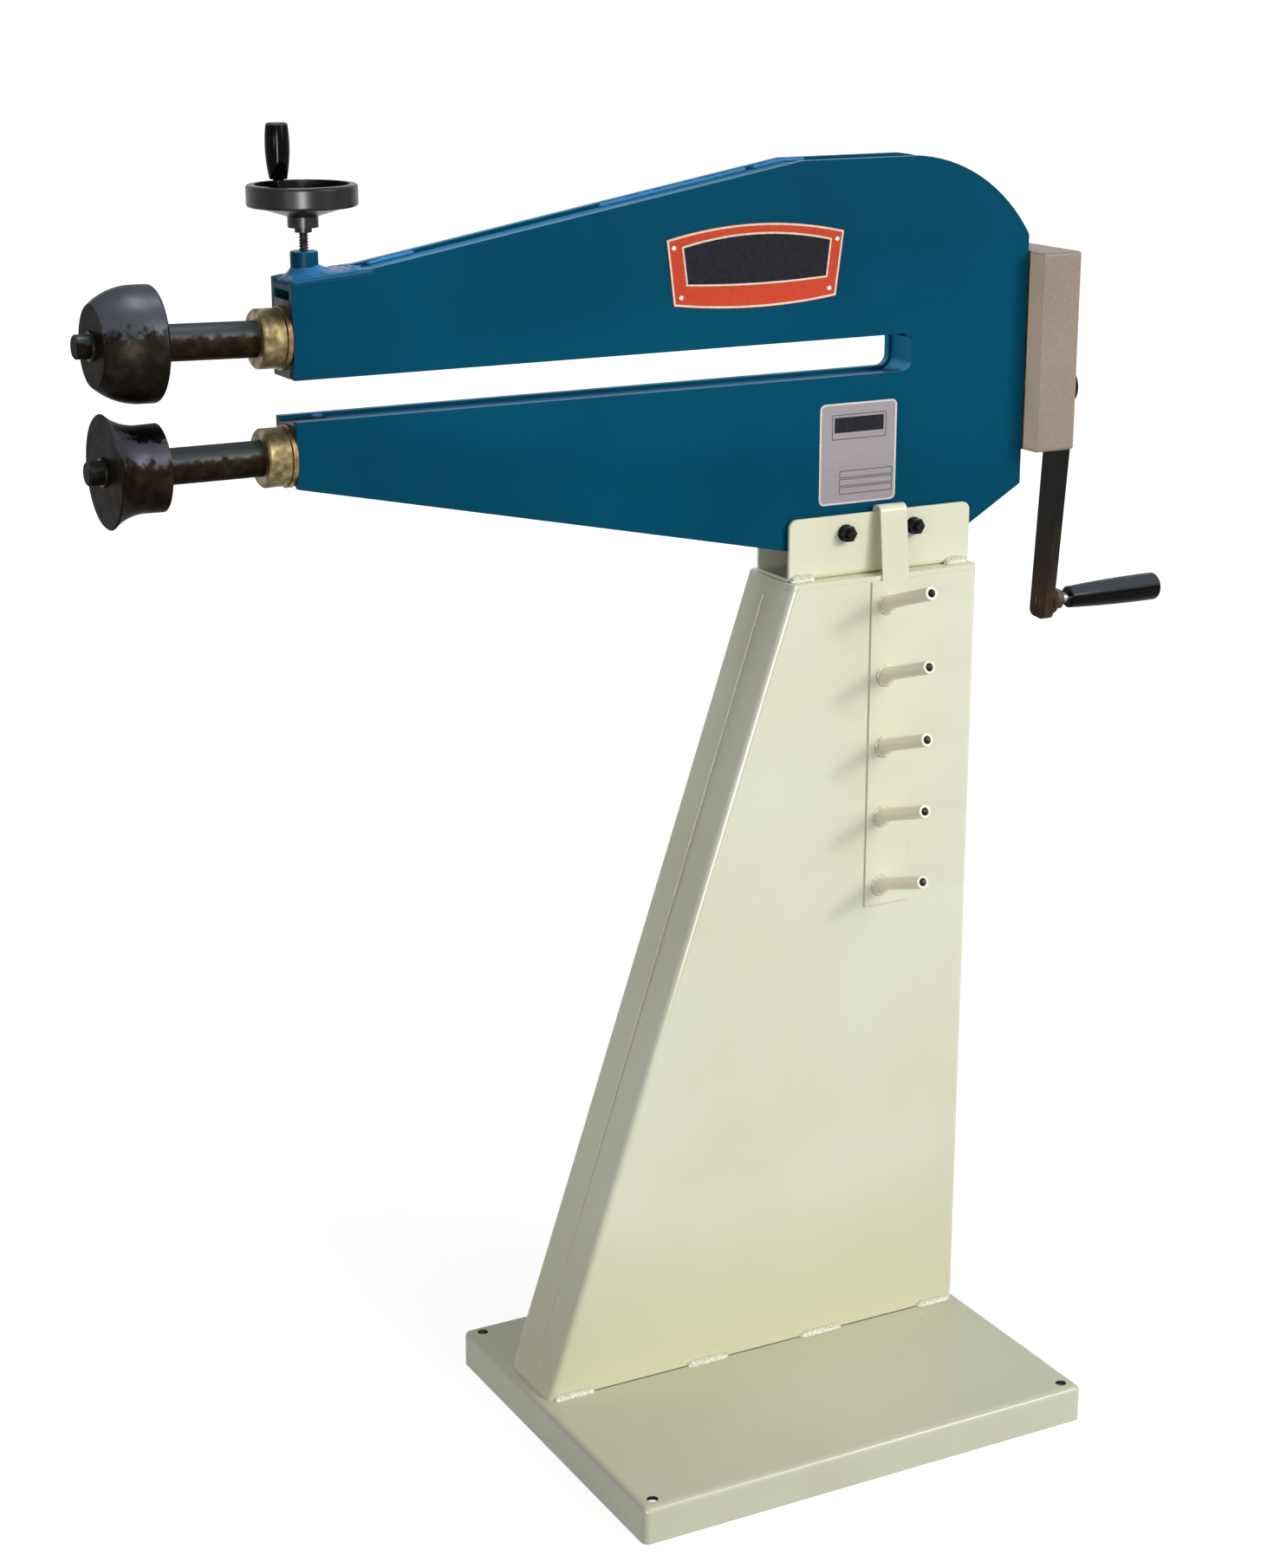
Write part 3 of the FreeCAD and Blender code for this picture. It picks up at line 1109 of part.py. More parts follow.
def crank_arm():
    """Tapered flat bar with a round hub on the shaft and a boss for the grip spindle."""
    tail = crank_pin_z() - CRANK_TAIL
    corners = [
        (HEAD_Y - CRANK_HUB_HALF, LOWER_Z, 0),
        (HEAD_Y - CRANK_PIN_HALF, crank_pin_z(), 0),
        (HEAD_Y - CRANK_PIN_HALF, tail, CRANK_TAIL_CORNER),
        (HEAD_Y + CRANK_PIN_HALF, tail, CRANK_TAIL_CORNER),
        (HEAD_Y + CRANK_PIN_HALF, crank_pin_z(), 0),
        (HEAD_Y + CRANK_HUB_HALF, LOWER_Z, 0),
    ]
    arm = plate_yz(rounded_wire(corners, in_yz), CRANK_X, CRANK_END_X)
    arm = arm.fuse(rod_x(CRANK_HUB_RADIUS, CRANK_HUB_X, CRANK_END_X, LOWER_Z))
    boss_end = CRANK_END_X + GRIP_BOSS_LENGTH
    boss = rod_x(GRIP_BOSS_RADIUS, CRANK_END_X, boss_end, crank_pin_z())
    boss = chamfer_where(boss, 1.5, lambda e: near(e.CenterOfMass.x, boss_end))
    below = box(CRANK_END_X, boss_end, HEAD_Y - 50, HEAD_Y + 50, tail - 50, tail)
    arm = arm.fuse(boss.cut(below)).removeSplitter()
    arm = arm.cut(rod_x(GEAR_SEAT_RADIUS, CRANK_HUB_X - 1, CRANK_END_X + 1, LOWER_Z))
    arm = arm.cut(rod_x(GRIP_SPINDLE_RADIUS, CRANK_X - 1, boss_end + 1, crank_pin_z()))
    return leaning(arm).cut(key_slot(CRANK_HUB_X - 1, CRANK_END_X + 1, GEAR_SEAT_RADIUS, LOWER_Z))


def grip_x():
    return CRANK_END_X + GRIP_BOSS_LENGTH + GRIP_HEX_LENGTH + GRIP_BARE


def crank_grip_spindle():
    """Shoulder spindle screwed through the arm, with a hexagon against the boss."""
    z = crank_pin_z()
    hex_x = CRANK_END_X + GRIP_BOSS_LENGTH
    end_x = grip_x() + GRIP_LENGTH - GRIP_WALL_END - 1
    bar = rod_x(GRIP_SPINDLE_RADIUS, CRANK_X, end_x, z)
    nut = hexagon(GRIP_HEX_FLATS, Vector(hex_x, HEAD_Y, z), Vector(hex_x + GRIP_HEX_LENGTH, HEAD_Y, z), 30)
    bar = bar.fuse(nut).removeSplitter()
    slot = box(CRANK_X - 1, CRANK_X + 2, HEAD_Y - 1, HEAD_Y + 1, z - 10, z + 10)
    return leaning(bar.cut(slot))


def crank_grip():
    """Revolving grip, swelling towards its rounded free end."""
    bore = GRIP_SPINDLE_RADIUS + RUNNING
    top = GRIP_LENGTH
    rounding = GRIP_ROUNDING
    corner_mid = rounding * (1 - math.sqrt(0.5))
    end = GRIP_END_RADIUS
    swell = Vector((GRIP_ROOT_RADIUS + end) / 2 + 0.9, 0, top * 0.45)
    chamfer = 2.0
    edges = [
        Part.LineSegment(Vector(bore, 0, 0), Vector(GRIP_ROOT_RADIUS - chamfer, 0, 0)),
        Part.LineSegment(Vector(GRIP_ROOT_RADIUS - chamfer, 0, 0), Vector(GRIP_ROOT_RADIUS, 0, chamfer)),
        Part.Arc(Vector(GRIP_ROOT_RADIUS, 0, chamfer), swell, Vector(end, 0, top - rounding)),
        Part.Arc(
            Vector(end, 0, top - rounding), Vector(end - corner_mid, 0, top - corner_mid),
            Vector(end - rounding, 0, top)),
        Part.LineSegment(Vector(end - rounding, 0, top), Vector(0, 0, top)),
        Part.LineSegment(Vector(0, 0, top), Vector(0, 0, top - GRIP_WALL_END)),
        Part.LineSegment(Vector(0, 0, top - GRIP_WALL_END), Vector(bore, 0, top - GRIP_WALL_END)),
        Part.LineSegment(Vector(bore, 0, top - GRIP_WALL_END), Vector(bore, 0, 0)),
    ]
    profile = Part.Wire([e.toShape() for e in edges])
    return leaning(turned(profile, Vector(grip_x(), HEAD_Y, crank_pin_z()), ALONG_X))


# Adjusting screw and handwheel

def foot_z():
    """Underside of the swivel foot, in the middle of the open slide block's T slot."""
    slot_bottom = PIVOT_Z + SLIDE_HALF_HEIGHT - FOOT_LIP - FOOT_SHEET - 2 * FOOT_SLOT_PLAY
    middle = slot_bottom + FOOT_SLOT_PLAY
    return middle + (PIVOT_X - SCREW_X) * math.tan(math.radians(OPEN_TILT))


def screw_foot():
    """Swivel foot, riveted loosely on the screw's pin. It slides in the T slot and never turns."""
    z = foot_z()
    foot = rod_z(FOOT_RADIUS, z, z + FOOT_SHEET, SCREW_X)
    foot = foot.cut(rod_z(SCREW_PIN_RADIUS + SCREW_PLAY, z - 1, z + FOOT_SHEET + 1, SCREW_X))
    recess = SCREW_PEEN_LENGTH + 2 * SCREW_PLAY
    return foot.cut(rod_z(SCREW_PEEN_RADIUS + SCREW_PLAY, z - 1, z + recess, SCREW_X))


def adjusting_screw():
    """Threaded spindle: peened pin in the foot, thread in the boss, stud for the wheel's nut."""
    z = foot_z()
    peen_top = z + SCREW_PEEN_LENGTH + SCREW_PLAY
    thread = z + FOOT_SHEET + SCREW_PLAY
    wheel_top = WHEEL_Z + WHEEL_HUB_HEIGHT
    screw = rod_z(SCREW_PEEN_RADIUS, z + SCREW_PLAY, peen_top, SCREW_X)
    screw = screw.fuse(rod_z(SCREW_PIN_RADIUS, peen_top, thread, SCREW_X))
    screw = screw.fuse(rod_z(SCREW_RADIUS, thread, wheel_top, SCREW_X))
    end = wheel_top + WHEEL_NUT_HEIGHT + 2
    return screw.fuse(rod_z(WHEEL_STUD_RADIUS, wheel_top, end, SCREW_X)).removeSplitter()


def web_height(radius):
    """Underside of the wheel's dished web at a radius, above the wheel's lowest face."""
    span = WHEEL_RIM_INNER - WHEEL_HUB_RADIUS
    return WHEEL_RIM_RAISE - WHEEL_WEB_DROP * (WHEEL_RIM_INNER - radius) / span


def handle_place():
    return Vector(SCREW_X + HANDLE_OFFSET_X, HEAD_Y + HANDLE_OFFSET_Y, 0)


def handle_seat_z():
    reach = math.hypot(HANDLE_OFFSET_X, HANDLE_OFFSET_Y)
    return WHEEL_Z + web_height(reach) + WHEEL_WEB


def handwheel():
    """Solid dished wheel: deep rim, sloping web and a stepped hub."""
    rim_top = WHEEL_RIM_RAISE + WHEEL_RIM_HEIGHT
    r = WHEEL_RIM_ROUNDING
    mid = r * (1 - math.sqrt(0.5))
    outer = WHEEL_RADIUS
    inner = WHEEL_RIM_INNER
    hub = WHEEL_HUB_RADIUS
    bore = SCREW_RADIUS
    low = WHEEL_RIM_RAISE
    hub_web = web_height(hub)

    def line(a, b):
        return Part.LineSegment(Vector(a[0], 0, a[1]), Vector(b[0], 0, b[1])).toShape()

    def arc(a, b, c):
        return Part.Arc(*[Vector(p[0], 0, p[1]) for p in (a, b, c)]).toShape()

    edges = [
        line((bore, 0), (WHEEL_STEP_RADIUS, 0)),
        line((WHEEL_STEP_RADIUS, 0), (WHEEL_STEP_RADIUS, WHEEL_STEP_HEIGHT)),
        line((WHEEL_STEP_RADIUS, WHEEL_STEP_HEIGHT), (hub, WHEEL_STEP_HEIGHT)),
        line((hub, WHEEL_STEP_HEIGHT), (hub, hub_web)),
        line((hub, hub_web), (inner, low)),
        line((inner, low), (outer - r, low)),
        arc((outer - r, low), (outer - mid, low + mid), (outer, low + r)),
        line((outer, low + r), (outer, rim_top - r)),
        arc((outer, rim_top - r), (outer - mid, rim_top - mid), (outer - r, rim_top)),
        line((outer - r, rim_top), (inner, rim_top)),
        line((inner, rim_top), (inner, low + WHEEL_WEB)),
        line((inner, low + WHEEL_WEB), (hub, hub_web + WHEEL_WEB)),
        line((hub, hub_web + WHEEL_WEB), (hub, WHEEL_HUB_HEIGHT)),
        line((hub, WHEEL_HUB_HEIGHT), (bore, WHEEL_HUB_HEIGHT)),
        line((bore, WHEEL_HUB_HEIGHT), (bore, 0)),
    ]
    wheel = turned(Part.Wire(edges), Vector(SCREW_X, HEAD_Y, WHEEL_Z))
    place = handle_place()
    return wheel.cut(rod_z(HANDLE_SPINDLE_RADIUS, WHEEL_Z, handle_seat_z() + 1, place.x, place.y))


def handwheel_nut():
    z = WHEEL_Z + WHEEL_HUB_HEIGHT
    nut = hexagon(WHEEL_NUT_FLATS, Vector(SCREW_X, HEAD_Y, z), Vector(SCREW_X, HEAD_Y, z + WHEEL_NUT_HEIGHT))
    return nut.cut(rod_z(WHEEL_STUD_RADIUS, z - 1, z + WHEEL_NUT_HEIGHT + 1, SCREW_X))


def handle_spindle():
    """Spindle with a ferrule, screwed in the web. The grip snaps over it."""
    place = handle_place()
    seat = handle_seat_z()
    reach = math.hypot(HANDLE_OFFSET_X, HANDLE_OFFSET_Y)
    low = WHEEL_Z + web_height(reach)
    top = seat + FERRULE_LENGTH + HUNG + HANDLE_BORE - 1
    bar = rod_z(HANDLE_SPINDLE_RADIUS, low, top, place.x, place.y)
    ferrule = rod_z(FERRULE_RADIUS, seat, seat + FERRULE_LENGTH, place.x, place.y)
    clear = turned(Part.makePolygon([
        Vector(0, 0, 0), Vector(WHEEL_RIM_INNER, 0, 0),
        Vector(WHEEL_RIM_INNER, 0, WHEEL_RIM_RAISE + WHEEL_WEB),
        Vector(WHEEL_HUB_RADIUS, 0, web_height(WHEEL_HUB_RADIUS) + WHEEL_WEB),
        Vector(0, 0, web_height(WHEEL_HUB_RADIUS) + WHEEL_WEB), Vector(0, 0, 0),
    ]), Vector(SCREW_X, HEAD_Y, WHEEL_Z))
    return ferrule.cut(clear).fuse(bar).removeSplitter()


def handwheel_grip():
    """Revolving handle, widest in its upper third, with a rounded closed top."""
    bore = HANDLE_SPINDLE_RADIUS + RUNNING
    top = HANDLE_LENGTH
    r = HANDLE_ROUNDING
    mid = r * (1 - math.sqrt(0.5))
    crown = HANDLE_TOP_RADIUS
    edges = [
        Part.LineSegment(Vector(bore, 0, 0), Vector(HANDLE_ROOT_RADIUS, 0, 0)),
        Part.Arc(
            Vector(HANDLE_ROOT_RADIUS, 0, 0), Vector(HANDLE_BELLY_RADIUS, 0, HANDLE_BELLY_AT),
            Vector(crown, 0, top - r)),
        Part.Arc(Vector(crown, 0, top - r), Vector(crown - mid, 0, top - mid), Vector(crown - r, 0, top)),
        Part.LineSegment(Vector(crown - r, 0, top), Vector(0, 0, top)),
        Part.LineSegment(Vector(0, 0, top), Vector(0, 0, HANDLE_BORE)),
        Part.LineSegment(Vector(0, 0, HANDLE_BORE), Vector(bore, 0, HANDLE_BORE)),
        Part.LineSegment(Vector(bore, 0, HANDLE_BORE), Vector(bore, 0, 0)),
    ]
    profile = Part.Wire([e.toShape() for e in edges])
    place = handle_place()
    return turned(profile, Vector(place.x, place.y, handle_seat_z() + FERRULE_LENGTH + HUNG))


# Tool rack

def rack_strap_x():
    return CRADLE_FRONT_X + RACK_STRAP_LEFT


def rack_plate_faces():
    """Y of the rack plate's near and far face. The far one rests on the stand."""
    far = STAND_NEAR_Y - HUNG
    return far - RACK_SHEET, far


def rack_plate_top():
    return DECK_Z - RACK_PLATE_BELOW_DECK


def tool_rack():
    """One bent sheet: hook over the cradle's near flange, slanting strap and long plate."""
    t = RACK_SHEET
    flange_top = DECK_Z + CRADLE_HEIGHT
    hook_top = flange_top + RACK_HOOK_BEND
    hook_far = CRADLE_NEAR_Y + CRADLE_SHEET + HUNG + t
    hook_near = hook_far - 2 * RACK_HOOK_BEND - RACK_HOOK_FLAT
    plate_near, plate_far = rack_plate_faces()
    knee = DECK_Z + 2.0
    corners = [
        (hook_far - t, flange_top - RACK_HOOK_DEPTH, 0),
        (hook_far, flange_top - RACK_HOOK_DEPTH, 0),
        (hook_far, hook_top, RACK_HOOK_BEND),
        (hook_near, hook_top, RACK_HOOK_BEND),
        (plate_near, knee, 0),
        (plate_near, rack_plate_top() - t, 0),
        (plate_far, rack_plate_top() - t, 0),
        (plate_far, knee, 0),
        (hook_near + t, hook_top - t, RACK_HOOK_BEND - t),
        (hook_far - t, hook_top - t, RACK_HOOK_BEND - t),
    ]
    x0 = rack_strap_x()
    strap = plate_yz(rounded_wire(corners, in_yz), x0, x0 + RACK_STRAP_WIDTH)
    px = x0 - RACK_PLATE_OVERHANG
    top = rack_plate_top()
    plate = box(px, px + RACK_PLATE_WIDTH, plate_near, plate_far, top - RACK_PLATE_LENGTH, top)
    return strap.fuse(plate).removeSplitter()


def tool_rack_pegs():
    """Tubes welded to the plate, rising towards their open ends."""
    plate_near, plate_far = rack_plate_faces()
    rise = math.radians(PEG_RISE)
    along = Vector(0, -math.cos(rise), math.sin(rise))
    x = rack_strap_x() - RACK_PLATE_OVERHANG + PEG_FROM_EDGE
    behind = box(x - 20, x + 20, plate_near, plate_far + 60, DECK_Z - 600, DECK_Z + 40)
    pegs = []
    for i in range(PEG_COUNT):
        root = Vector(x, plate_near, rack_plate_top() - PEG_FIRST - i * PEG_PITCH)
        tube = rod(PEG_RADIUS, root - along * 8, root + along * PEG_LENGTH)
        weld_start = root - along * PEG_ROOT_DEPTH
        weld_length = PEG_ROOT_DEPTH + PEG_WELD_REACH
        tube = tube.fuse(Part.makeCone(PEG_WELD_RADIUS, PEG_RADIUS, weld_length, weld_start, along))
        tube = tube.cut(rod(PEG_BORE, root - along * 9, root + along * (PEG_LENGTH + 1)))
        pegs.append(tube.cut(behind))
    return Part.makeCompound(pegs)


# Plates on the head

def name_plate_corners():
    middle = HEAD_REAR_X - NAME_PLATE_FROM_REAR
    low = HEAD_BOTTOM_Z + NAME_PLATE_RISE
    return middle, low, low + NAME_PLATE_HEIGHT


def name_plate():
    """Blank plate with bowed upper and lower edges."""
    middle, low, high = name_plate_corners()
    half_top = NAME_PLATE_TOP_WIDTH / 2
    half_bottom = NAME_PLATE_BOTTOM_WIDTH / 2
    top_left = Vector(middle - half_top, 0, high)
    top_right = Vector(middle + half_top, 0, high)
    low_left = Vector(middle - half_bottom, 0, low)
    low_right = Vector(middle + half_bottom, 0, low)
    outline = Part.Wire([
        Part.Arc(top_left, Vector(middle, 0, high + NAME_PLATE_TOP_ARCH), top_right).toShape(),
        Part.LineSegment(top_right, low_right).toShape(),
        Part.Arc(low_right, Vector(middle, 0, low - NAME_PLATE_BOTTOM_ARCH), low_left).toShape(),
        Part.LineSegment(low_left, top_left).toShape(),
    ])
    plate = plate_xz(outline, HEAD_NEAR_Y - PLATE_LABEL_SHEET, HEAD_NEAR_Y)
    for x, z in rivet_places():
        plate = plate.cut(rod(NAME_RIVET_SHANK, Vector(x, HEAD_NEAR_Y - 5, z), Vector(x, HEAD_NEAR_Y, z)))
    return plate


def rivet_places():
    middle, low, high = name_plate_corners()
    inset = NAME_RIVET_INSET
    half_top = NAME_PLATE_TOP_WIDTH / 2 - inset
    half_bottom = NAME_PLATE_BOTTOM_WIDTH / 2 - inset
    return [
        (middle - half_top, high - inset), (middle + half_top, high - inset),
        (middle - half_bottom, low + inset), (middle + half_bottom, low + inset),
    ]


def name_plate_rivets():
    face = HEAD_NEAR_Y - PLATE_LABEL_SHEET
    rivets = []
    for x, z in rivet_places():
        shank = rod(NAME_RIVET_SHANK, Vector(x, face, z), Vector(x, HEAD_NEAR_Y + NAME_RIVET_DEPTH, z))
        head = rod(NAME_RIVET_RADIUS, Vector(x, face - NAME_RIVET_HEAD, z), Vector(x, face, z))
        tip = face - NAME_RIVET_HEAD
        head = fillet_where(head, 1.2, lambda e: near(e.CenterOfMass.y, tip))
        rivets.append(shank.fuse(head).removeSplitter())
    return Part.makeCompound(rivets)


def rating_plate():
    """Blank thin plate with rounded corners."""
    x0 = HEAD_REAR_X - RATING_FROM_REAR
    x1 = x0 + RATING_WIDTH
    z0 = HEAD_BOTTOM_Z + RATING_RISE
    z1 = z0 + RATING_HEIGHT
    r = RATING_CORNER
    outline = rounded_wire([(x0, z0, r), (x1, z0, r), (x1, z1, r), (x0, z1, r)], in_xz)
    return plate_xz(outline, HEAD_NEAR_Y - RATING_SHEET, HEAD_NEAR_Y)


def build():
    os.makedirs("parts", exist_ok=True)
    write("base_pan", base_pan())
    write("stand_near_shell", stand_shell(-1))
    write("stand_far_shell", stand_shell(1))
    write("stand_deck", stand_deck())
    write("head_cradle", head_cradle())
    write("cradle_bolts", cradle_bolts())
    write("cradle_nuts", cradle_nuts())
    write("cradle_washers", cradle_washers())

    write("near_frame_plate", frame_plate(-1))
    write("far_frame_plate", frame_plate(1))
    write("top_spacer_strip", top_spacer_strip())
    write("bottom_spacer_strip", bottom_spacer_strip())
    write("slot_spacer_strip", slot_spacer_strip())
    write("lower_front_block", lower_front_block())
    write("rear_bearing_block", rear_bearing_block())
    write("lower_front_bush", bush(HEAD_FRONT_X, HEAD_FRONT_X + FRONT_BLOCK_LENGTH, LOWER_Z, flange=True))
    write("lower_rear_bush", bush(HEAD_REAR_X - REAR_BLOCK_LENGTH, HEAD_REAR_X, LOWER_Z))
    write("screw_boss", screw_boss())
    write("name_plate", name_plate())
    write("name_plate_rivets", name_plate_rivets())
    write("rating_plate", rating_plate())

    write("upper_slide_block", upper_slide_block())
    write("upper_front_bush", upper_front_bush())
    write("upper_rear_rocker", upper_rear_rocker())
    write("upper_rear_bush", upper_rear_bush())

    write("upper_shaft", upper_shaft())
    write("upper_collar", tilted(collar(upper_flange_x(), PIVOT_Z)))
    write("upper_collar_screw", tilted(collar_screw(upper_flange_x(), PIVOT_Z)))
    write("upper_roll", upper_roll())
    write("upper_roll_ring", tilted(roll_ring(UPPER_ROLL_WIDTH, PIVOT_Z)))
    write("upper_gear", tilted(gear(PIVOT_Z, math.radians(-90) + math.pi / TEETH)))
    write("upper_shaft_keys", tilted(keys([roll_key_span(UPPER_ROLL_WIDTH), gear_key_span()], PIVOT_Z)))
    write("upper_gear_washer", tilted(end_washer(GEAR_END_X, PIVOT_Z)))
    write("upper_gear_bolt", tilted(end_bolt(GEAR_END_X, upper_end_x(), PIVOT_Z)))

    write("lower_shaft", lower_shaft())
    write("lower_collar", collar(lower_flange_x(), LOWER_Z))
    write("lower_collar_screw", collar_screw(lower_flange_x(), LOWER_Z))
    write("lower_roll", lower_roll())
    write("lower_roll_ring", roll_ring(LOWER_ROLL_WIDTH, LOWER_Z))
    write("lower_gear", gear(LOWER_Z, math.radians(90)))
    lower_spans = [roll_key_span(LOWER_ROLL_WIDTH), gear_key_span(), crank_key_span()]
    write("lower_shaft_keys", keys(lower_spans, LOWER_Z))
    write("crank_sleeve", crank_sleeve())
    write("crank_arm", crank_arm())
    write("crank_washer", end_washer(CRANK_END_X, LOWER_Z))
    write("crank_bolt", end_bolt(CRANK_END_X, lower_end_x(), LOWER_Z))
    write("crank_grip_spindle", crank_grip_spindle())
    write("crank_grip", crank_grip())

    write("cover_spacer_plate", cover_spacer_plate())
    write("cover_backing_plate", cover_backing_plate())
    write("gear_cover", gear_cover())
    write("cover_posts", cover_posts())
    write("cover_screws", cover_screws())

    write("screw_foot", screw_foot())
    write("adjusting_screw", adjusting_screw())
    write("handwheel", handwheel())
    write("handwheel_nut", handwheel_nut())
    write("handwheel_spindle", handle_spindle())
    write("handwheel_grip", handwheel_grip())

    write("tool_rack", tool_rack())
    write("tool_rack_pegs", tool_rack_pegs())


def print_motion():
    swing = OPEN_TILT - CLOSED_TILT
    reach = PIVOT_X - SCREW_X
    travel = reach * (math.tan(math.radians(OPEN_TILT)) - math.tan(math.radians(CLOSED_TILT)))
    print("open tilt", round(OPEN_TILT, 4), "swing", round(swing, 4), "screw travel", round(travel, 3))
    print("pivot", PIVOT_X, PIVOT_Z, "turns", round(travel / SCREW_LEAD, 4))


build()
print_motion()
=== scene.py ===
# %% [markdown]
# # Dressing a hand cranked bead roller
# The solid model of the machine is already exact: plates, shafts, rolls, gears and stand all sit
# where they belong. This lesson gives it paint, oil, weld beads and a thread, and then light and a
# camera. The imported model comes in first, so every later piece can be placed by asking it where
# things are.

# %% Load the model
import math
import random

import bmesh
import bpy
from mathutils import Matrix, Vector
from mathutils.bvhtree import BVHTree


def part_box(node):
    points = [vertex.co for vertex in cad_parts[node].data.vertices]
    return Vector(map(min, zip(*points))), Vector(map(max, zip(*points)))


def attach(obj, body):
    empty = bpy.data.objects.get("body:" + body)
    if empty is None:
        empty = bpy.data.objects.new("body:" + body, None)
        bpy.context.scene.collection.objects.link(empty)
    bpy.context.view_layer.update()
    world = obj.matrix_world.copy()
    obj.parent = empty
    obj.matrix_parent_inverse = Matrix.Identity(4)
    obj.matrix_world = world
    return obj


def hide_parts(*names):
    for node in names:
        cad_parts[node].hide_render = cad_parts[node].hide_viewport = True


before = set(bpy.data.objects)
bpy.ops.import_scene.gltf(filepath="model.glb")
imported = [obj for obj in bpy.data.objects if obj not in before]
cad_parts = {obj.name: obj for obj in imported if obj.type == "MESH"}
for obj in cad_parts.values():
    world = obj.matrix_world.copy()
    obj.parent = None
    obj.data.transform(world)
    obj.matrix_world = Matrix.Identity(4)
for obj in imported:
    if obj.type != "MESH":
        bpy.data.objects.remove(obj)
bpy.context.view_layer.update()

# %% [markdown]
# ## Standing where the photographer stood
# The picture was taken from the front left, a little above the top of the head, with a long lens:
# upright edges stay almost parallel. The position and direction below were solved from corners of
# the stand and the base. A camera looks along its own -Z axis, so a direction is turned into a
# rotation with `to_track_quat`. The sensor is fitted by its width, because the picture is upright.

# %% Camera
EYE = Vector((-1.6104, -2.6848, 1.7277))
SIGHT = Vector((0.45098, 0.84381, -0.29087))
LENS = 80.1

lens = bpy.data.cameras.new("photo_camera")
lens.sensor_fit = "HORIZONTAL"
lens.sensor_width = 36.0
lens.lens = LENS
camera = bpy.data.objects.new("photo_camera", lens)
camera.location = EYE
camera.rotation_euler = SIGHT.to_track_quat("-Z", "Y").to_euler()
bpy.context.scene.collection.objects.link(camera)
bpy.context.scene.camera = camera
bpy.context.scene.view_settings.view_transform = "Standard"
print("camera", LENS, "mm at", [round(v, 2) for v in EYE])

# %% [markdown]
# ## Light like the picture's
# The pegs of the rack throw shadows down and to the left, which gives the direction of the main
# light: from the right of the camera and above. The shadows are faint streaks, so two discs shine
# from there: a very broad one gives nearly all the light, and a small key lamp draws the streaks
# and the bright lines on edges. A third disc hangs over the nose, a weak one at the left lights the
# folds, and one from low down in front reaches the undersides of the shafts. A tall one only makes
# highlights: the soft band on the rim of the handwheel and the sharp line on its grip. A narrow
# spot shines along the head at the edge of the gear cover. The level of a lamp is the share of its
# own colour that a matt surface facing it shows.

# %% Lamp helpers
SPOT_BLEND = 0.3
SPOT_SOFTNESS = 0.02


def hang_lamp(name, light, target, towards, distance):
    """Hangs a lamp at a distance from its target and turns it there. Cameras don't see it."""
    lamp = bpy.data.objects.new(name, light)
    lamp.location = target + towards.normalized() * distance
    lamp.rotation_euler = towards.to_track_quat("Z", "Y").to_euler()
    lamp.visible_camera = False
    bpy.context.scene.collection.objects.link(lamp)
    return lamp


def disc_lamp(name, target, towards, distance, radius, level, tall=1.0, only_gloss=False):
    """A round lamp, or an upright oval one, that shines at a target from a direction."""
    light = bpy.data.lights.new(name, "AREA")
    light.shape = "ELLIPSE"
    light.size = 2 * radius
    light.size_y = 2 * radius * tall
    light.energy = level * math.pi ** 2 * distance ** 2
    lamp = hang_lamp(name, light, target, towards, distance)
    lamp.visible_diffuse = not only_gloss


def spot_lamp(name, target, towards, distance, half_angle, level):
    """A narrow cone of light, soft at its border."""
    light = bpy.data.lights.new(name, "SPOT")
    light.spot_size = 2 * half_angle
    light.spot_blend = SPOT_BLEND
    light.shadow_soft_size = SPOT_SOFTNESS
    light.energy = level * 4 * math.pi ** 2 * distance ** 2
    hang_lamp(name, light, target, towards, distance)


print("lamp helpers ready")

# %% Lamps
RACK_MIDDLE = Vector((0.16, -0.2, 0.85))
NOSE_MIDDLE = Vector((-0.60, 0.06, 1.36))
WHEEL_MIDDLE = Vector((-0.524, 0.078, 1.45))
disc_lamp("main_light", RACK_MIDDLE, Vector((0.44, -0.77, 0.47)), 6.0, 2.30, 0.66)
disc_lamp("key_light", RACK_MIDDLE, Vector((0.50, -0.70, 0.43)), 6.0, 0.42, 0.19)
disc_lamp("nose_light", NOSE_MIDDLE, Vector((0.0, 0.05, 1.0)), 0.85, 0.20, 0.50)
disc_lamp("left_light", RACK_MIDDLE, Vector((-0.84, -0.52, 0.16)), 4.0, 0.25, 0.08)
disc_lamp("low_light", NOSE_MIDDLE, Vector((-0.52, -0.85, -0.28)), 2.2, 0.20, 0.07)
disc_lamp(
    "gloss_light", WHEEL_MIDDLE, Vector((-0.364, -0.927, -0.095)), 3.2, 0.26, 1.30,
    tall=3.0, only_gloss=True)

cover_low, cover_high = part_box("gear_cover")
plate_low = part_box("near_frame_plate")[0]
cover_edge = Vector((cover_low.x, (cover_low.y + plate_low.y) / 2, (cover_low.z + cover_high.z) / 2))
spot_lamp("cover_spot", cover_edge, Vector((-0.997, -0.07, 0.0)), 1.6, math.radians(5.2), 0.74)

# %% [markdown]
# ## A white sky
# The sky of the studio fills the shadows. It is dim for diffuse light, and plain white where the
# camera or a reflection looks at it, so the background is white without washing out the paint.
# A world is a small network of nodes, as a material is. Two helpers make such networks short: one
# feeds sockets with values or with the outputs of other nodes, and one adds a node and feeds it.

# %% Node helpers and sky
SKY_LEVEL = 0.27
WHITE = (1, 1, 1, 1)


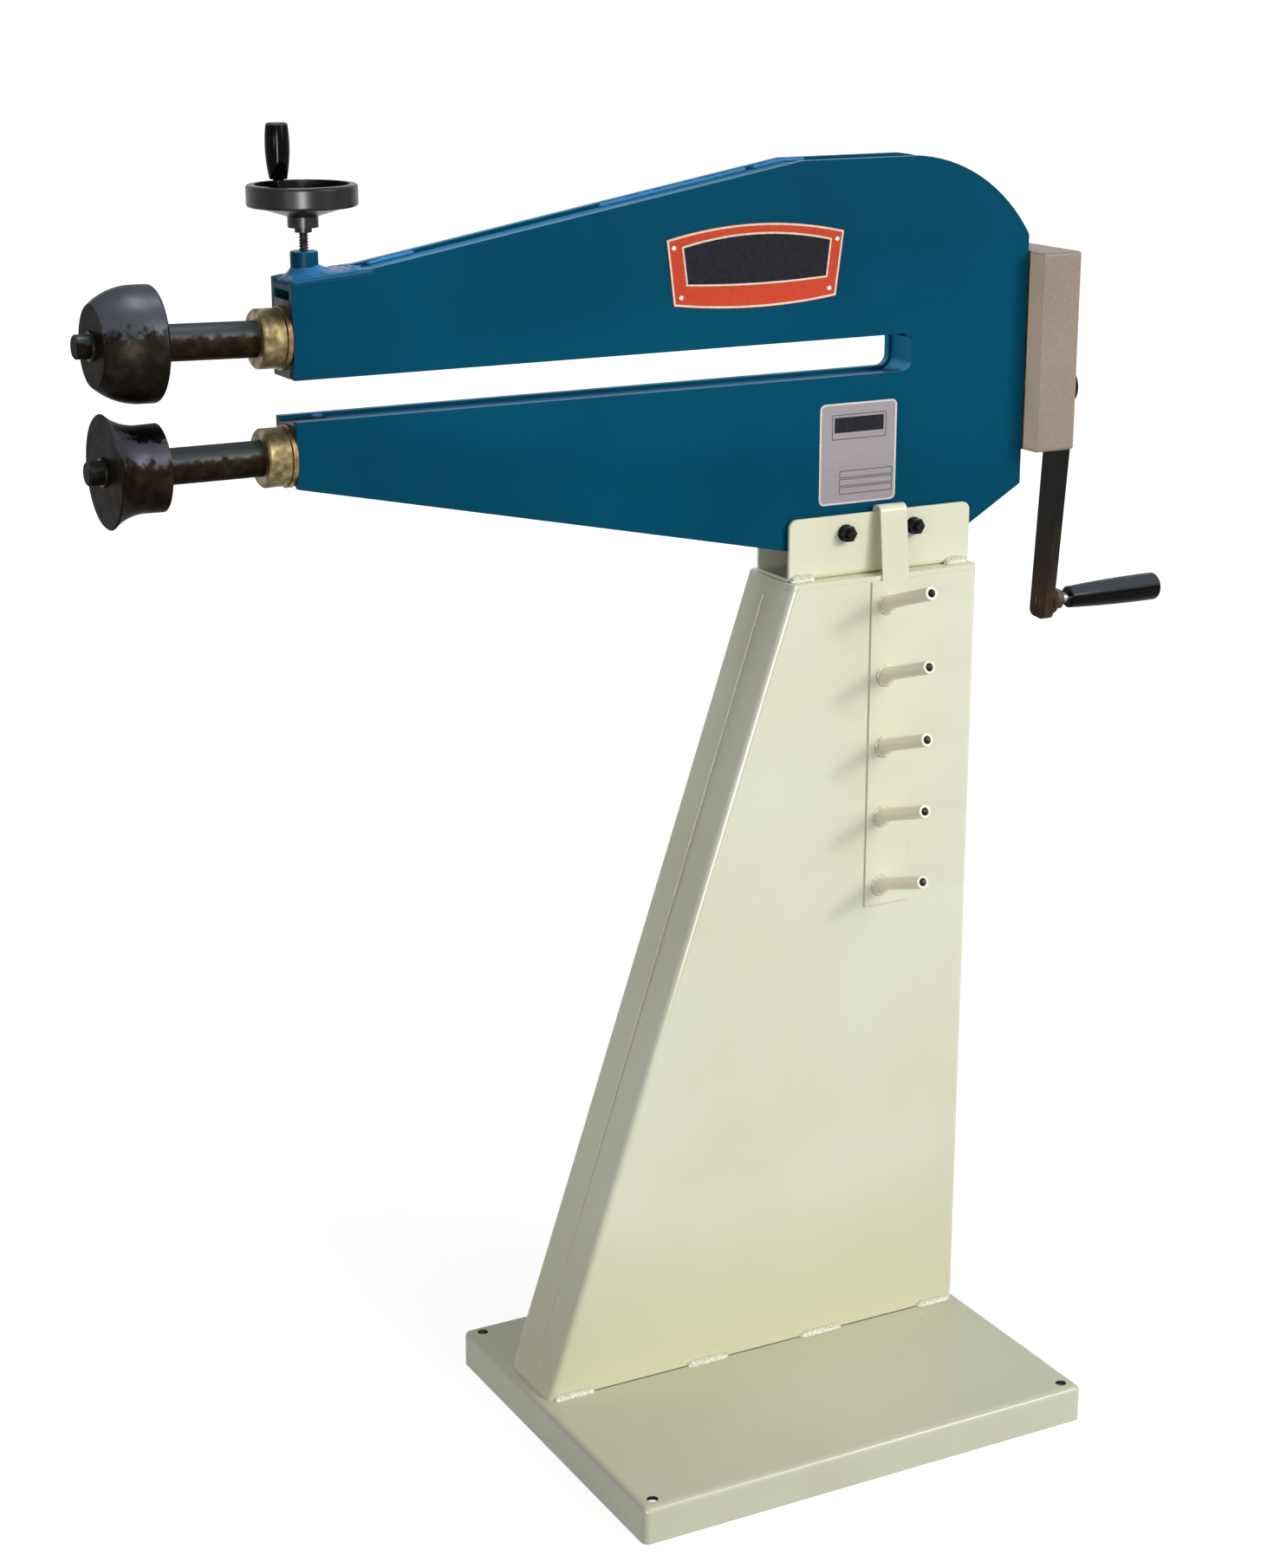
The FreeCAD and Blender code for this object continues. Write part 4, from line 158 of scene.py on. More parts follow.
def feed(node, sockets):
    """Feeds sockets, by name or number, with plain values or with outputs of other nodes."""
    for name, source in sockets.items():
        if isinstance(source, bpy.types.NodeSocket):
            node.id_data.links.new(source, node.inputs[name])
        else:
            node.inputs[name].default_value = source


def add_node(graph, kind, sockets, **settings):
    made = graph.nodes.new(kind)
    for name, value in settings.items():
        setattr(made, name, value)
    feed(made, sockets)
    return made


def calculate(graph, operation, first, second, clamp=False):
    inputs = {0: first, 1: second}
    return add_node(graph, "ShaderNodeMath", inputs, operation=operation, use_clamp=clamp).outputs[0]


def rescale(graph, amount, low, high, from_low=0.3, from_high=0.7):
    """A number that runs from low to high as amount runs over its usual range."""
    ends = {"Value": amount, "From Min": from_low, "From Max": from_high, "To Min": low, "To Max": high}
    return add_node(graph, "ShaderNodeMapRange", ends).outputs["Result"]


def seen_directly(graph):
    """1 where the camera, a reflection or a refraction looks, else 0."""
    path = add_node(graph, "ShaderNodeLightPath", {})
    seen = calculate(graph, "MAXIMUM", path.outputs["Is Camera Ray"], path.outputs["Is Glossy Ray"])
    return calculate(graph, "MAXIMUM", seen, path.outputs["Is Transmission Ray"])


sky = bpy.data.worlds.new("studio_sky")
bpy.context.scene.world = sky
sky.use_nodes = True
graph = sky.node_tree
shown = calculate(graph, "MULTIPLY", seen_directly(graph), 1 - SKY_LEVEL)
strength = calculate(graph, "ADD", shown, SKY_LEVEL)
feed(graph.nodes["Background"], {"Color": WHITE, "Strength": strength})
print("sky", SKY_LEVEL)

# %% [markdown]
# ## A floor that only shows shadows
# The machine stands on a pale floor that runs out beyond the frame. A lit matt surface alone would
# look grey, so the shader adds a little glow that only the camera and reflections see. That lifts
# the open floor to white, and the soft shadow at the foot stays. Far out the lamp's own light
# fades, so the glow rises a little with the distance from the machine. The floor lies a hair below
# the base, because two faces in the same place would flicker.

# %% Floor
FLOOR_HALF = 40.0
FLOOR_BELOW = 0.0006
FLOOR_GREY = 0.42
FLOOR_GLOW = 0.82
FAR_GLOW = 0.20
FADE_START = 0.4
FADE_END = 4.0


def own_place(graph, kind="Object"):
    """The place on the object itself, or its normal there."""
    return add_node(graph, "ShaderNodeTexCoord", {}).outputs[kind]


ground = bmesh.new()
bmesh.ops.create_grid(ground, x_segments=8, y_segments=8, size=FLOOR_HALF)
floor_mesh = bpy.data.meshes.new("studio_floor")
ground.to_mesh(floor_mesh)
ground.free()
floor = bpy.data.objects.new("studio_floor", floor_mesh)
floor.location.z = -FLOOR_BELOW
bpy.context.scene.collection.objects.link(floor)

floor_finish = bpy.data.materials.new("pale_floor")
floor_finish.use_nodes = True
graph = floor_finish.node_tree
away = add_node(graph, "ShaderNodeVectorMath", {0: own_place(graph)}, operation="LENGTH")
fade = rescale(graph, away.outputs["Value"], FLOOR_GLOW, FLOOR_GLOW + FAR_GLOW, FADE_START, FADE_END)
glow = calculate(graph, "MULTIPLY", seen_directly(graph), fade)
feed(graph.nodes["Principled BSDF"], {
    "Base Color": (FLOOR_GREY, FLOOR_GREY, FLOOR_GREY, 1), "Roughness": 0.9, "Specular IOR Level": 0.0,
    "Emission Color": WHITE, "Emission Strength": glow})
floor_mesh.materials.append(floor_finish)
print("floor", 2 * FLOOR_HALF, "m wide")

# %% [markdown]
# ## Tools for mixing a finish
# Every finish below is mixed from the same few steps. A noise says where a surface is a little
# lighter or darker, a colour ramp turns that number into paint, and a bump makes it catch the
# light. The noises are measured in metres on the object itself, so a grain of 2 mm is written as
# 0.002 and stays in place when a part turns. Colours are written as they look on screen, from 0
# to 255, and turned into the linear values that a shader needs.

# %% Paint helpers
def paint(red, green, blue):
    """A screen colour as the linear colour of a shader."""
    linear = []
    for value in (red, green, blue):
        share = value / 255
        linear.append(share / 12.92 if share <= 0.04045 else ((share + 0.055) / 1.055) ** 2.4)
    return (*linear, 1)


def new_finish(name, roughness, specular=0.5, metallic=0.0, edge_shine=1.0):
    finish = bpy.data.materials.new(name)
    finish.use_nodes = True
    graph = finish.node_tree
    shader = graph.nodes["Principled BSDF"]
    feed(shader, {
        "Roughness": roughness, "Specular IOR Level": specular, "Metallic": metallic,
        "Specular Tint": (edge_shine, edge_shine, edge_shine, 1)})
    return finish, graph, shader


def coat(shader, colour, roughness):
    feed(shader, {"Base Color": colour, "Roughness": roughness})


print("paint helpers ready")

# %% Pattern helpers
def noise(graph, grain, detail=3.0, stretch=(1, 1, 1), offset=0.0):
    """A noise with features about one grain wide, longer along an axis with a stretch over 1."""
    fit = add_node(graph, "ShaderNodeMapping", {
        "Vector": own_place(graph), "Scale": [1 / (grain * along) for along in stretch],
        "Location": (offset, offset * 0.7, offset * 1.3)})
    pattern = {"Vector": fit.outputs["Vector"], "Scale": 1.0, "Detail": detail}
    return add_node(graph, "ShaderNodeTexNoise", pattern).outputs["Fac"]


def ramp(graph, amount, *stops):
    """A screen colour for each position, blended in between."""
    scale = add_node(graph, "ShaderNodeValToRGB", {"Fac": amount})
    marks = scale.color_ramp.elements
    while len(marks) < len(stops):
        marks.new(0.5)
    for mark, (where, colour) in zip(marks, stops):
        mark.position = where
        mark.color = paint(*colour)
    return scale.outputs["Color"]


def mix_colour(graph, amount, under, over):
    """Blends two colours, each a socket or a screen colour."""
    first, second = [paint(*tone) if isinstance(tone, tuple) else tone for tone in (under, over)]
    return add_node(graph, "ShaderNodeMix", {0: amount, 6: first, 7: second}, data_type="RGBA").outputs[2]


def along_axis(graph, axis, kind="Object"):
    """The place on the object along one axis, in metres, or that share of its normal."""
    return add_node(graph, "ShaderNodeSeparateXYZ", {"Vector": own_place(graph, kind)}).outputs[axis]


def facing_up(graph, low, high, ragged=0.0):
    """0 to 1 as the surface turns from level low to level high, with a ragged border if wanted."""
    level = along_axis(graph, "Z", "Normal")
    if ragged:
        level = calculate(graph, "ADD", level, rescale(graph, noise(graph, 0.008, 5.0), -ragged, ragged))
    return rescale(graph, level, 0.0, 1.0, low, high)


def bump(shader, layers, edge):
    """Stacks bumps of (height socket, depth in metres) on edges rounded as paint and a file do."""
    graph = shader.id_data
    normal = add_node(graph, "ShaderNodeBevel", {"Radius": edge}, samples=6).outputs["Normal"]
    for height, depth in layers:
        relief = {"Strength": 1.0, "Distance": depth, "Height": height, "Normal": normal}
        normal = add_node(graph, "ShaderNodeBump", relief).outputs["Normal"]
    feed(shader, {"Normal": normal})


print("pattern helpers ready")

# %% [markdown]
# ## Sprayed enamel
# Head and stand are sprayed. Thick enamel never lies dead flat: it has a fine orange peel, slow
# waves of the sheet under it, faint clouds where a second pass overlapped, and a few specks of
# dirt. Faces that look up are painted paler on the head and its welds, a painted highlight of the
# light from above, and darker on the base, a painted shade. Towards its foot the stand is painted
# darker and yellower, a painted reflection of the base. One recipe makes all the colours. On a weld
# the clouds shrink to the size of its ripples, and their near-white spots are painted glints. A
# texture from a photograph would look right on one side only, so everything comes from noise on
# the object.

# %% Enamel recipe
SPECK_SPACING = 0.055
SPECK_SIZE = 0.0011
WAVE_GRAIN = 0.12
WAVE_DEPTH = 0.0008
ENAMEL_EDGE = 0.0013
EARTH = (96, 84, 66)
DARK_TEAL = (16, 40, 52)


def specks(graph, share):
    """1 inside rare small spots: one cell in a few of a random grid carries one."""
    grid = {"Vector": own_place(graph), "Scale": 1 / SPECK_SPACING}
    cells = add_node(graph, "ShaderNodeTexVoronoi", grid)
    near = calculate(graph, "LESS_THAN", cells.outputs["Distance"], SPECK_SIZE / SPECK_SPACING)
    split = add_node(graph, "ShaderNodeSeparateColor", {"Color": cells.outputs["Color"]})
    chosen = calculate(graph, "LESS_THAN", split.outputs["Red"], share)
    return calculate(graph, "MULTIPLY", near, chosen)


def enamel(
        name, dark, middle, light, roughness, specular, peel=0.00005, peel_grain=0.0028,
        cloud_grain=0.22, grime=EARTH, speck_share=0.10, tone_layer=None, painted_top_share=0.5, foot=None):
    finish, graph, shader = new_finish(name, roughness, specular)
    clouds = noise(graph, cloud_grain, 4.0)
    colour = ramp(graph, clouds, (0.30, dark), (0.50, middle), (0.72, light))
    # Faces that look up get another colour: painted light on the blue head and its welds, painted shade
    # on the base.
    if tone_layer:
        painted_top_mask = calculate(graph, "MULTIPLY", facing_up(graph, 0.2, 0.8), painted_top_share)
        colour = mix_colour(graph, painted_top_mask, colour, tone_layer)
    # Darker and yellower towards the foot: a painted reflection of the base.
    if foot:
        tone, low_z, high_z = foot
        share = rescale(graph, along_axis(graph, "Z"), 1.0, 0.0, low_z, high_z)
        colour = mix_colour(graph, share, colour, tone)
    colour = mix_colour(graph, specks(graph, speck_share), colour, grime)
    smears = noise(graph, 0.05, 5.0, offset=3.0)
    coat(shader, colour, rescale(graph, smears, roughness - 0.02, roughness + 0.05, 0.1, 0.9))
    peel_height = noise(graph, peel_grain, 1.0)
    waves = noise(graph, WAVE_GRAIN, 1.0, offset=7.0)
    bump(shader, [(waves, WAVE_DEPTH), (peel_height, peel)], ENAMEL_EDGE)
    return finish


# Faces of the head that look up are painted paler blue: painted light from above.
head_blue = enamel(
    "head_blue", (0, 68, 94), (0, 73, 99), (0, 78, 105), 0.34, 0.035, peel=0.00010,
    grime=DARK_TEAL, speck_share=0.16, tone_layer=(84, 158, 210))
# The welds are a lighter copy of the blue, and their up faces are painted paler still: painted
# highlights.
weld_blue = enamel(
    "weld_blue", (0, 66, 92), (2, 76, 104), (14, 92, 124), 0.20, 0.06, peel=0.00022,
    peel_grain=0.0024, grime=DARK_TEAL, speck_share=0.16, tone_layer=(76, 158, 228), painted_top_share=0.65)
# Towards the foot the stand is painted darker and yellower, a painted reflection of the base.
stand_cream = enamel(
    "stand_cream", (225, 225, 198), (230, 231, 205), (234, 235, 212), 0.18, 0.30,
    foot=((216, 215, 182), 0.08, 0.27))
# The base is a darker copy of the stand's cream as painted shade, and its up faces are painted darker
# still.
shaded_base_cream = enamel(
    "shaded_base_cream", (207, 208, 181), (212, 213, 187), (216, 217, 194), 0.18, 0.34, tone_layer=(183, 184, 159))
# The pegs are a lighter, pinker copy of the cream: painted light.
lit_peg_cream = enamel("lit_peg_cream", (232, 225, 202), (238, 231, 209), (243, 237, 217), 0.14, 0.50)
# The near-white spots the size of the ripples are painted glints on the welds.
weld_cream = enamel(
    "weld_cream", (176, 173, 148), (214, 213, 188), (250, 250, 240), 0.12, 0.70, peel=0.00060,
    peel_grain=0.0015, cloud_grain=0.0022, grime=(120, 108, 88))
print("enamels:", head_blue.name, stand_cream.name, shaded_base_cream.name, lit_peg_cream.name)

# %% [markdown]
# The gear cover is a different beige, finer and drier than the stand: a powder coat whose grain
# shows as tiny speckles. The same steps are used with a grain of little over a millimetre, a light
# and a dark colour far apart, and a bump that follows the speckle.

# %% Powder coat of the cover
CLOUD_SHARE = 0.35


def powder_coat(name, dark, light, grain, roughness, depth):
    finish, graph, shader = new_finish(name, roughness, specular=0.35)
    grains = noise(graph, grain, 2.0)
    clouds = noise(graph, 0.09, 3.0, offset=2.0)
    fine = ramp(graph, grains, (0.34, dark), (0.66, light))
    shade = ramp(graph, clouds, (0.30, dark), (0.70, light))
    coat(shader, mix_colour(graph, CLOUD_SHARE, fine, shade), roughness)
    bump(shader, [(grains, depth)], edge=0.0012)
    return finish


cover_beige = powder_coat("cover_beige", (131, 116, 100), (158, 143, 127), 0.0013, 0.42, 0.00009)
print("powder coat:", cover_beige.name)

# %% [markdown]
# ## Oiled steel
# The shafts and rolls are dark: hardened, oiled, and stained brown where hands and swarf have been.
# Steel like that reflects little, so its metal colour is nearly black, and a broad noise varies it.
# The upper side is painted a paler grey with a ragged border, a painted reflection of the sky;
# below it the brown stains stay. The hollow of the lower roll is painted black on top, a painted
# shade and reflection of the upper roll. Turning leaves rings across the axis: a wave along X,
# finer than a millimetre, gives them, and a noise stretched along the shaft breaks them up.

# %% Steel recipe
BAND_SCALE = 0.314
OILED = {"metallic": 0.5, "edge_shine": 0.3}


def turned_steel(
        name, low, middle, high, roughness, patch, ring_pitch, ring_depth=0.00002, metallic=0.86,
        edge_shine=1.0, painted_sky_reflection=None, painted_crest_shade=None):
    """Steel with stains one patch wide. Painted sky reflection and crest shade: (colour, start, end)."""
    finish, graph, shader = new_finish(name, roughness, 0.3 * edge_shine ** 2, metallic, edge_shine)
    stains = noise(graph, patch, 6.0, offset=1.0)
    colour = ramp(graph, stains, (0.34, low), (0.50, middle), (0.66, high))
    # Upper faces painted grey as a reflection of the sky; the lower roll's crest painted black as shade.
    for layer, ragged in ((painted_sky_reflection, 0.16), (painted_crest_shade, 0.10)):
        if layer:
            tone, start, end = layer
            colour = mix_colour(graph, facing_up(graph, start, end, ragged), colour, tone)
    coat(shader, colour, rescale(graph, stains, roughness + 0.08, roughness - 0.04))
    wave = {
        "Vector": own_place(graph), "Scale": BAND_SCALE / ring_pitch, "Distortion": 0.8, "Detail": 2.0}
    rings = add_node(graph, "ShaderNodeTexWave", wave, wave_type="BANDS", bands_direction="X")
    scuffs = noise(graph, 0.004, 4.0, stretch=(5, 1, 1), offset=5.0)
    bump(shader, [(rings.outputs["Fac"], ring_depth), (scuffs, 0.00004)], edge=0.0006)
    return finish


# Shafts and rolls: the grey on their upper side is a painted reflection of the sky.
shaft_steel = turned_steel(
    "shaft_steel", (26, 18, 10), (32, 25, 17), (42, 36, 26), 0.33, 0.014, 0.0011,
    painted_sky_reflection=((68, 72, 74), 0.25, 0.47), **OILED)
roll_steel = turned_steel(
    "roll_steel", (22, 17, 12), (28, 25, 20), (38, 35, 30), 0.32, 0.016, 0.0009,
    painted_sky_reflection=((74, 78, 84), 0.24, 0.42), **OILED)
# The lower roll's black crest is painted shade and reflection of the upper roll.
shaded_roll_steel = turned_steel(
    "shaded_roll_steel", (22, 15, 10), (32, 25, 18), (48, 37, 28), 0.32, 0.016, 0.0009,
    painted_sky_reflection=((72, 72, 80), 0.20, 0.40), painted_crest_shade=((13, 12, 12), 0.70, 0.78), **OILED)
gear_steel = turned_steel(
    "gear_steel", (60, 54, 44), (108, 106, 102), (140, 140, 138), 0.34, 0.012, 0.0008, 0.00003)
# Dark steel; the same finish also paints the shade inside the peg bores and anchor holes.
dark_steel = turned_steel("dark_steel", (20, 22, 20), (34, 37, 34), (52, 56, 54), 0.44, 0.015, 0.0012)
thread_steel = turned_steel(
    "thread_steel", (24, 22, 24), (44, 42, 46), (80, 78, 84), 0.32, 0.008, 0.0009, 0.00001)
print("steels:", shaft_steel.name, roll_steel.name, gear_steel.name, dark_steel.name, thread_steel.name)

# %% [markdown]
# ## Bronze and plated collars
# The collars at the nose have gone dull gold, with browner blotches, and the bush flanges behind
# them shine coppery at the rim. Rivets and cover screws are plated with zinc. All are metal with
# more or less colour, rough enough that they show no clear reflection. Small pits from casting are
# a noise of about a millimetre.

# %% Bronze recipe
def bronze(name, low, middle, high, roughness):
    finish, graph, shader = new_finish(name, roughness, metallic=0.88)
    blotches = noise(graph, 0.011, 6.0)
    colour = ramp(graph, blotches, (0.32, low), (0.52, middle), (0.70, high))
    coat(shader, colour, rescale(graph, blotches, roughness + 0.12, roughness - 0.06))
    pits = noise(graph, 0.0013, 3.0, offset=4.0)
    bump(shader, [(pits, 0.00009)], edge=0.0008)
    return finish


collar_gold = bronze("collar_gold", (74, 62, 40), (112, 99, 68), (152, 140, 106), 0.42)
bush_bronze = bronze("bush_bronze", (72, 54, 36), (116, 90, 58), (156, 128, 88), 0.38)
zinc_plate = bronze("zinc_plate", (160, 158, 150), (196, 194, 186), (222, 221, 216), 0.35)
print("bronzes:", collar_gold.name, bush_bronze.name, zinc_plate.name)

# %% [markdown]
# ## Black parts
# The blacks differ by gloss. The grips are moulded and polished, and their upper faces carry a
# painted blue-grey reflection of the pale sky. The handwheel is a satin moulding, nuts and bolts
# are blackened and slightly oily, and the crank arm is scaled flat bar that has rubbed brown
# towards its lower end. The shadow gap between stand and base is painted as a dull brown line.
# Each has a faint noise in its colour, since a perfectly even black turns into a hole in the
# picture.

# %% Blacks
def moulded_black(name, low, high, roughness, specular, depth, painted_sky_sheen=None):
    """A plain dark finish. The painted sky sheen is a painted reflection on faces that look up."""
    finish, graph, shader = new_finish(name, roughness, specular)
    tone_layer = noise(graph, 0.014, 5.0)
    colour = ramp(graph, tone_layer, (0.35, low), (0.70, high))
    # Faces that look up get a painted reflection of the sky.
    if painted_sky_sheen:
        colour = mix_colour(graph, facing_up(graph, 0.25, 0.60), colour, painted_sky_sheen)
    coat(shader, colour, rescale(graph, tone_layer, roughness * 0.96, roughness * 1.06))
    bump(shader, [(noise(graph, 0.0011, 2.0), depth)], edge=0.0008)
    return finish


# The blue-grey on the grips' upper faces is a painted reflection of the sky.
grip_black = moulded_black("grip_black", (6, 5, 6), (11, 10, 11), 0.10, 0.05, 0.0000005, (66, 72, 78))
wheel_black = moulded_black("wheel_black", (6, 5, 7), (12, 11, 14), 0.31, 0.24, 0.000002)
black_steel = moulded_black("black_steel", (10, 10, 11), (22, 22, 23), 0.30, 0.12, 0.00003)
shadow_gap_brown = moulded_black("shadow_gap_brown", (58, 46, 34), (86, 70, 52), 0.70, 0.10, 0.00003)


def worn_bar(name, top_z, low_z):
    """Black scale that turns brown from one height to another and along rubbed patches."""
    finish, graph, shader = new_finish(name, 0.5, specular=0.06)
    drop = rescale(graph, along_axis(graph, "Z"), 1.0, 0.0, low_z, top_z)
    patches = rescale(graph, noise(graph, 0.018, 6.0, stretch=(1, 1, 2.5)), -0.30, 0.30)
    rust = calculate(graph, "ADD", drop, patches, clamp=True)
    colour = ramp(graph, rust, (0.05, (21, 22, 17)), (0.55, (42, 34, 26)), (1.0, (66, 51, 39)))
    coat(shader, colour, rescale(graph, rust, 0.34, 0.62, 0.0, 1.0))
    scale = noise(graph, 0.006, 6.0, stretch=(1, 1, 3))
    bump(shader, [(scale, 0.00012)], edge=0.0009)
    return finish


BROWN_FROM_TOP = 0.17
BROWN_FULL_AT = 0.03
arm_low, arm_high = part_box("crank_arm")
crank_black = worn_bar("crank_black", arm_high.z - BROWN_FROM_TOP, arm_low.z + BROWN_FULL_AT)
print("blacks:", grip_black.name, wheel_black.name, black_steel.name, crank_black.name)

# %% [markdown]
# The spindle of the crank grip is one turned part with two looks: its hexagon and the end in the
# arm are blackened, and the short bare length in front of the grip is bright. One material can do
# both. The place along X decides between the two colours, which keeps the step sharp and exact.

# %% Two-tone spindle
GRIP_BARE = 0.0112
SPINDLE_ROUGHNESS = 0.32
bright_from_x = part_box("crank_grip")[0].x - GRIP_BARE
spindle_steel, graph, shader = new_finish("spindle_steel", SPINDLE_ROUGHNESS, metallic=0.85)
bare = calculate(graph, "GREATER_THAN", along_axis(graph, "X"), bright_from_x)
stains = noise(graph, 0.007, 5.0)
blackened = ramp(graph, stains, (0.35, (20, 20, 19)), (0.68, (44, 43, 41)))
bright = ramp(graph, stains, (0.35, (128, 126, 120)), (0.68, (196, 196, 193)))
coat(shader, mix_colour(graph, bare, blackened, bright), SPINDLE_ROUGHNESS)
bump(shader, [(noise(graph, 0.003, 3.0, stretch=(0.2, 1, 1)), 0.00003)], edge=0.0006)
print("spindle bright from x =", round(bright_from_x, 4))

# %% [markdown]
# ## Plates with printed and brushed faces
# The name plate is an enamelled badge and the rating plate a thin sheet of brushed aluminium. Both
# stay bare here. Brushing is a noise stretched fifty times along the stroke, which streaks both
# the colour and the roughness.

# %% Label finishes
def badge_enamel(name, low, high, roughness=0.28, specular=0.4):
    finish, graph, shader = new_finish(name, roughness, specular)
    coat(shader, ramp(graph, noise(graph, 0.006, 4.0), (0.35, low), (0.65, high)), roughness)
    bump(shader, [(noise(graph, 0.0012, 2.0), 0.00002)], edge=0.0003)
    return finish


def brushed_sheet(name, low, high, roughness):
    finish, graph, shader = new_finish(name, roughness, metallic=0.35)
    strokes = noise(graph, 0.0006, 3.0, stretch=(50, 1, 1))
    colour = ramp(graph, strokes, (0.30, low), (0.70, high))
    coat(shader, colour, rescale(graph, strokes, roughness + 0.08, roughness - 0.08))
    bump(shader, [(strokes, 0.00002)], edge=0.0003)
    return finish


badge_red = badge_enamel("badge_red", (196, 62, 34), (204, 68, 38), 0.30, 0.2)
badge_cream = badge_enamel("badge_cream", (214, 200, 172), (232, 220, 196))
badge_black = badge_enamel("badge_black", (20, 19, 28), (32, 30, 40), 0.22, 0.14)
plate_alloy = brushed_sheet("plate_alloy", (136, 128, 132), (147, 139, 142), 0.42)
plate_line = brushed_sheet("plate_line", (180, 172, 172), (202, 194, 194), 0.40)
plate_dark = badge_enamel("plate_dark", (62, 58, 66), (76, 72, 80), 0.35)
print("label finishes ready")

# %% [markdown]
# ## Giving every part its finish
# The model's parts keep their shapes and get a finish by name. A dictionary from finish to parts
# reads like a paint list, and a check at the end makes sure that no part was forgotten.

# %% Paint list
paint_list = {
    head_blue: [
        "near_frame_plate", "far_frame_plate", "top_spacer_strip", "bottom_spacer_strip",
        "slot_spacer_strip", "screw_boss", "rear_bearing_block"],
    stand_cream: ["stand_near_shell", "stand_far_shell", "stand_deck", "head_cradle", "tool_rack"],
    lit_peg_cream: ["tool_rack_pegs"],
    shaded_base_cream: ["base_pan"],
    cover_beige: ["gear_cover", "cover_backing_plate"],
    shaft_steel: ["upper_shaft", "lower_shaft", "crank_sleeve"],
    roll_steel: ["upper_roll"],
    shaded_roll_steel: ["lower_roll"],
    gear_steel: ["upper_gear", "lower_gear", "upper_shaft_keys", "lower_shaft_keys", "cover_posts"],
    dark_steel: [
        "upper_slide_block", "lower_front_block", "upper_rear_rocker", "cover_spacer_plate",
        "upper_roll_ring", "lower_roll_ring", "upper_collar_screw", "lower_collar_screw", "screw_foot"],
    spindle_steel: ["crank_grip_spindle"],
    collar_gold: ["upper_collar", "lower_collar"],
    bush_bronze: ["upper_front_bush", "lower_front_bush", "upper_rear_bush", "lower_rear_bush"],
    zinc_plate: [
        "name_plate_rivets", "cover_screws", "crank_washer", "upper_gear_washer", "upper_gear_bolt"],
    black_steel: [
        "cradle_bolts", "cradle_nuts", "cradle_washers", "crank_bolt", "handwheel_nut",
        "handwheel_spindle", "adjusting_screw"],
    wheel_black: ["handwheel"],
    grip_black: ["handwheel_grip", "crank_grip"],
    crank_black: ["crank_arm"],
    badge_red: ["name_plate"],
    plate_alloy: ["rating_plate"],
}


def dress(thing, finish):
    if not thing.material_slots:
        thing.data.materials.append(finish)
    for place in thing.material_slots:
        place.material = finish


dressed = set()
for finish, parts in paint_list.items():
    for part in parts:
        dress(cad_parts[part], finish)
        dressed.add(part)
print("dressed", len(dressed), "parts, forgotten:", sorted(set(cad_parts) - dressed))

# %% [markdown]
# ## A workshop for extra pieces
# Welds, threads and borders are small shapes that a solid model leaves out. Each one is built as a
# bmesh, point by point, because then it follows exact lines of the machine and stays one closed
# skin. Every piece ends the same way: it gets a finish and the body that it moves with. One helper
# does that, and another joins rings of points into a tube, which is how nearly all of these shapes
# are skinned.

# %% Helpers for pieces
MM = 0.001
UP = Vector((0, 0, 1))
ABOVE_ALL = 2.0


def new_piece(name, shape, finish, body="frame", smooth=True):
    """Turns a bmesh into a finished piece that moves with a body of the machine."""
    bmesh.ops.recalc_face_normals(shape, faces=shape.faces)
    for face in shape.faces:
        face.smooth = smooth
    mesh = bpy.data.meshes.new(name)
    shape.to_mesh(mesh)
    shape.free()
    piece = bpy.data.objects.new(name, mesh)
    bpy.context.scene.collection.objects.link(piece)
    dress(piece, finish)
    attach(piece, body)
    return piece


def skin_rings(shape, rings, closed=False):
    """Joins rings with equal numbers of points. Caps both ends unless the tube closes on itself."""
    rows = [[shape.verts.new(point) for point in ring] for ring in rings]
    pairs = list(zip(rows, rows[1:]))
    if closed:
        pairs.append((rows[-1], rows[0]))
    for row, following in pairs:
        for i in range(len(row)):
            j = (i + 1) % len(row)
            shape.faces.new((row[i], row[j], following[j], following[i]))
    if not closed:
        shape.faces.new(rows[0])
        shape.faces.new(rows[-1])


def solid_tree(*names):
    """All faces of some parts as one search tree, for dropping points onto them."""
    points = []
    faces = []
    for name in names:
        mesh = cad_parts[name].data
        first = len(points)
        points += [vertex.co.copy() for vertex in mesh.vertices]
        faces += [[first + i for i in face.vertices] for face in mesh.polygons]
    return BVHTree.FromPolygons(points, faces)


def top_at(tree, x, y):
    """Height of the first surface that a ray straight down meets."""
    return tree.ray_cast(Vector((x, y, ABOVE_ALL)), -UP)[0].z


def ease(share):
    """The same share from 0 to 1, but with a slow start and a slow end."""
    return share * share * (3 - 2 * share)


print("piece helpers ready")

# %% [markdown]
# ## What a weld bead looks like
# The stand is stitched to its base and the cradle to the stand with short fillet welds, painted
# over. A bead is a row of overlapping puddles, so its surface shows crescents every two or three
# millimetres, its width wanders with the welder's hand, and its ends are rounded. A bump texture
# would miss all that in outline. Here a section runs along a line: two legs reach from the corner
# to the bead's borders, and the crown swells between them. The borders are sunk a little way into
# the steel, so no crack of light shows.

# %% Bead helpers
BEAD_POINTS = 8
BEAD_STEP = 0.7 * MM
BEAD_RIPPLE = 2.6 * MM
BEAD_CRESCENT = 1.3
BEAD_WANDER = 6.0 * MM
BEAD_WANDER_SHARE = 0.10
BEAD_END_SHARE = 0.22
BEAD_SUNK = 0.25 * MM


def run(start, end, first_leg, second_leg, crown):
    """Stations of a straight bead from start to end."""
    steps = max(2, round((end - start).length / BEAD_STEP))
    return [(start.lerp(end, i / steps), first_leg, second_leg, crown) for i in range(steps + 1)]


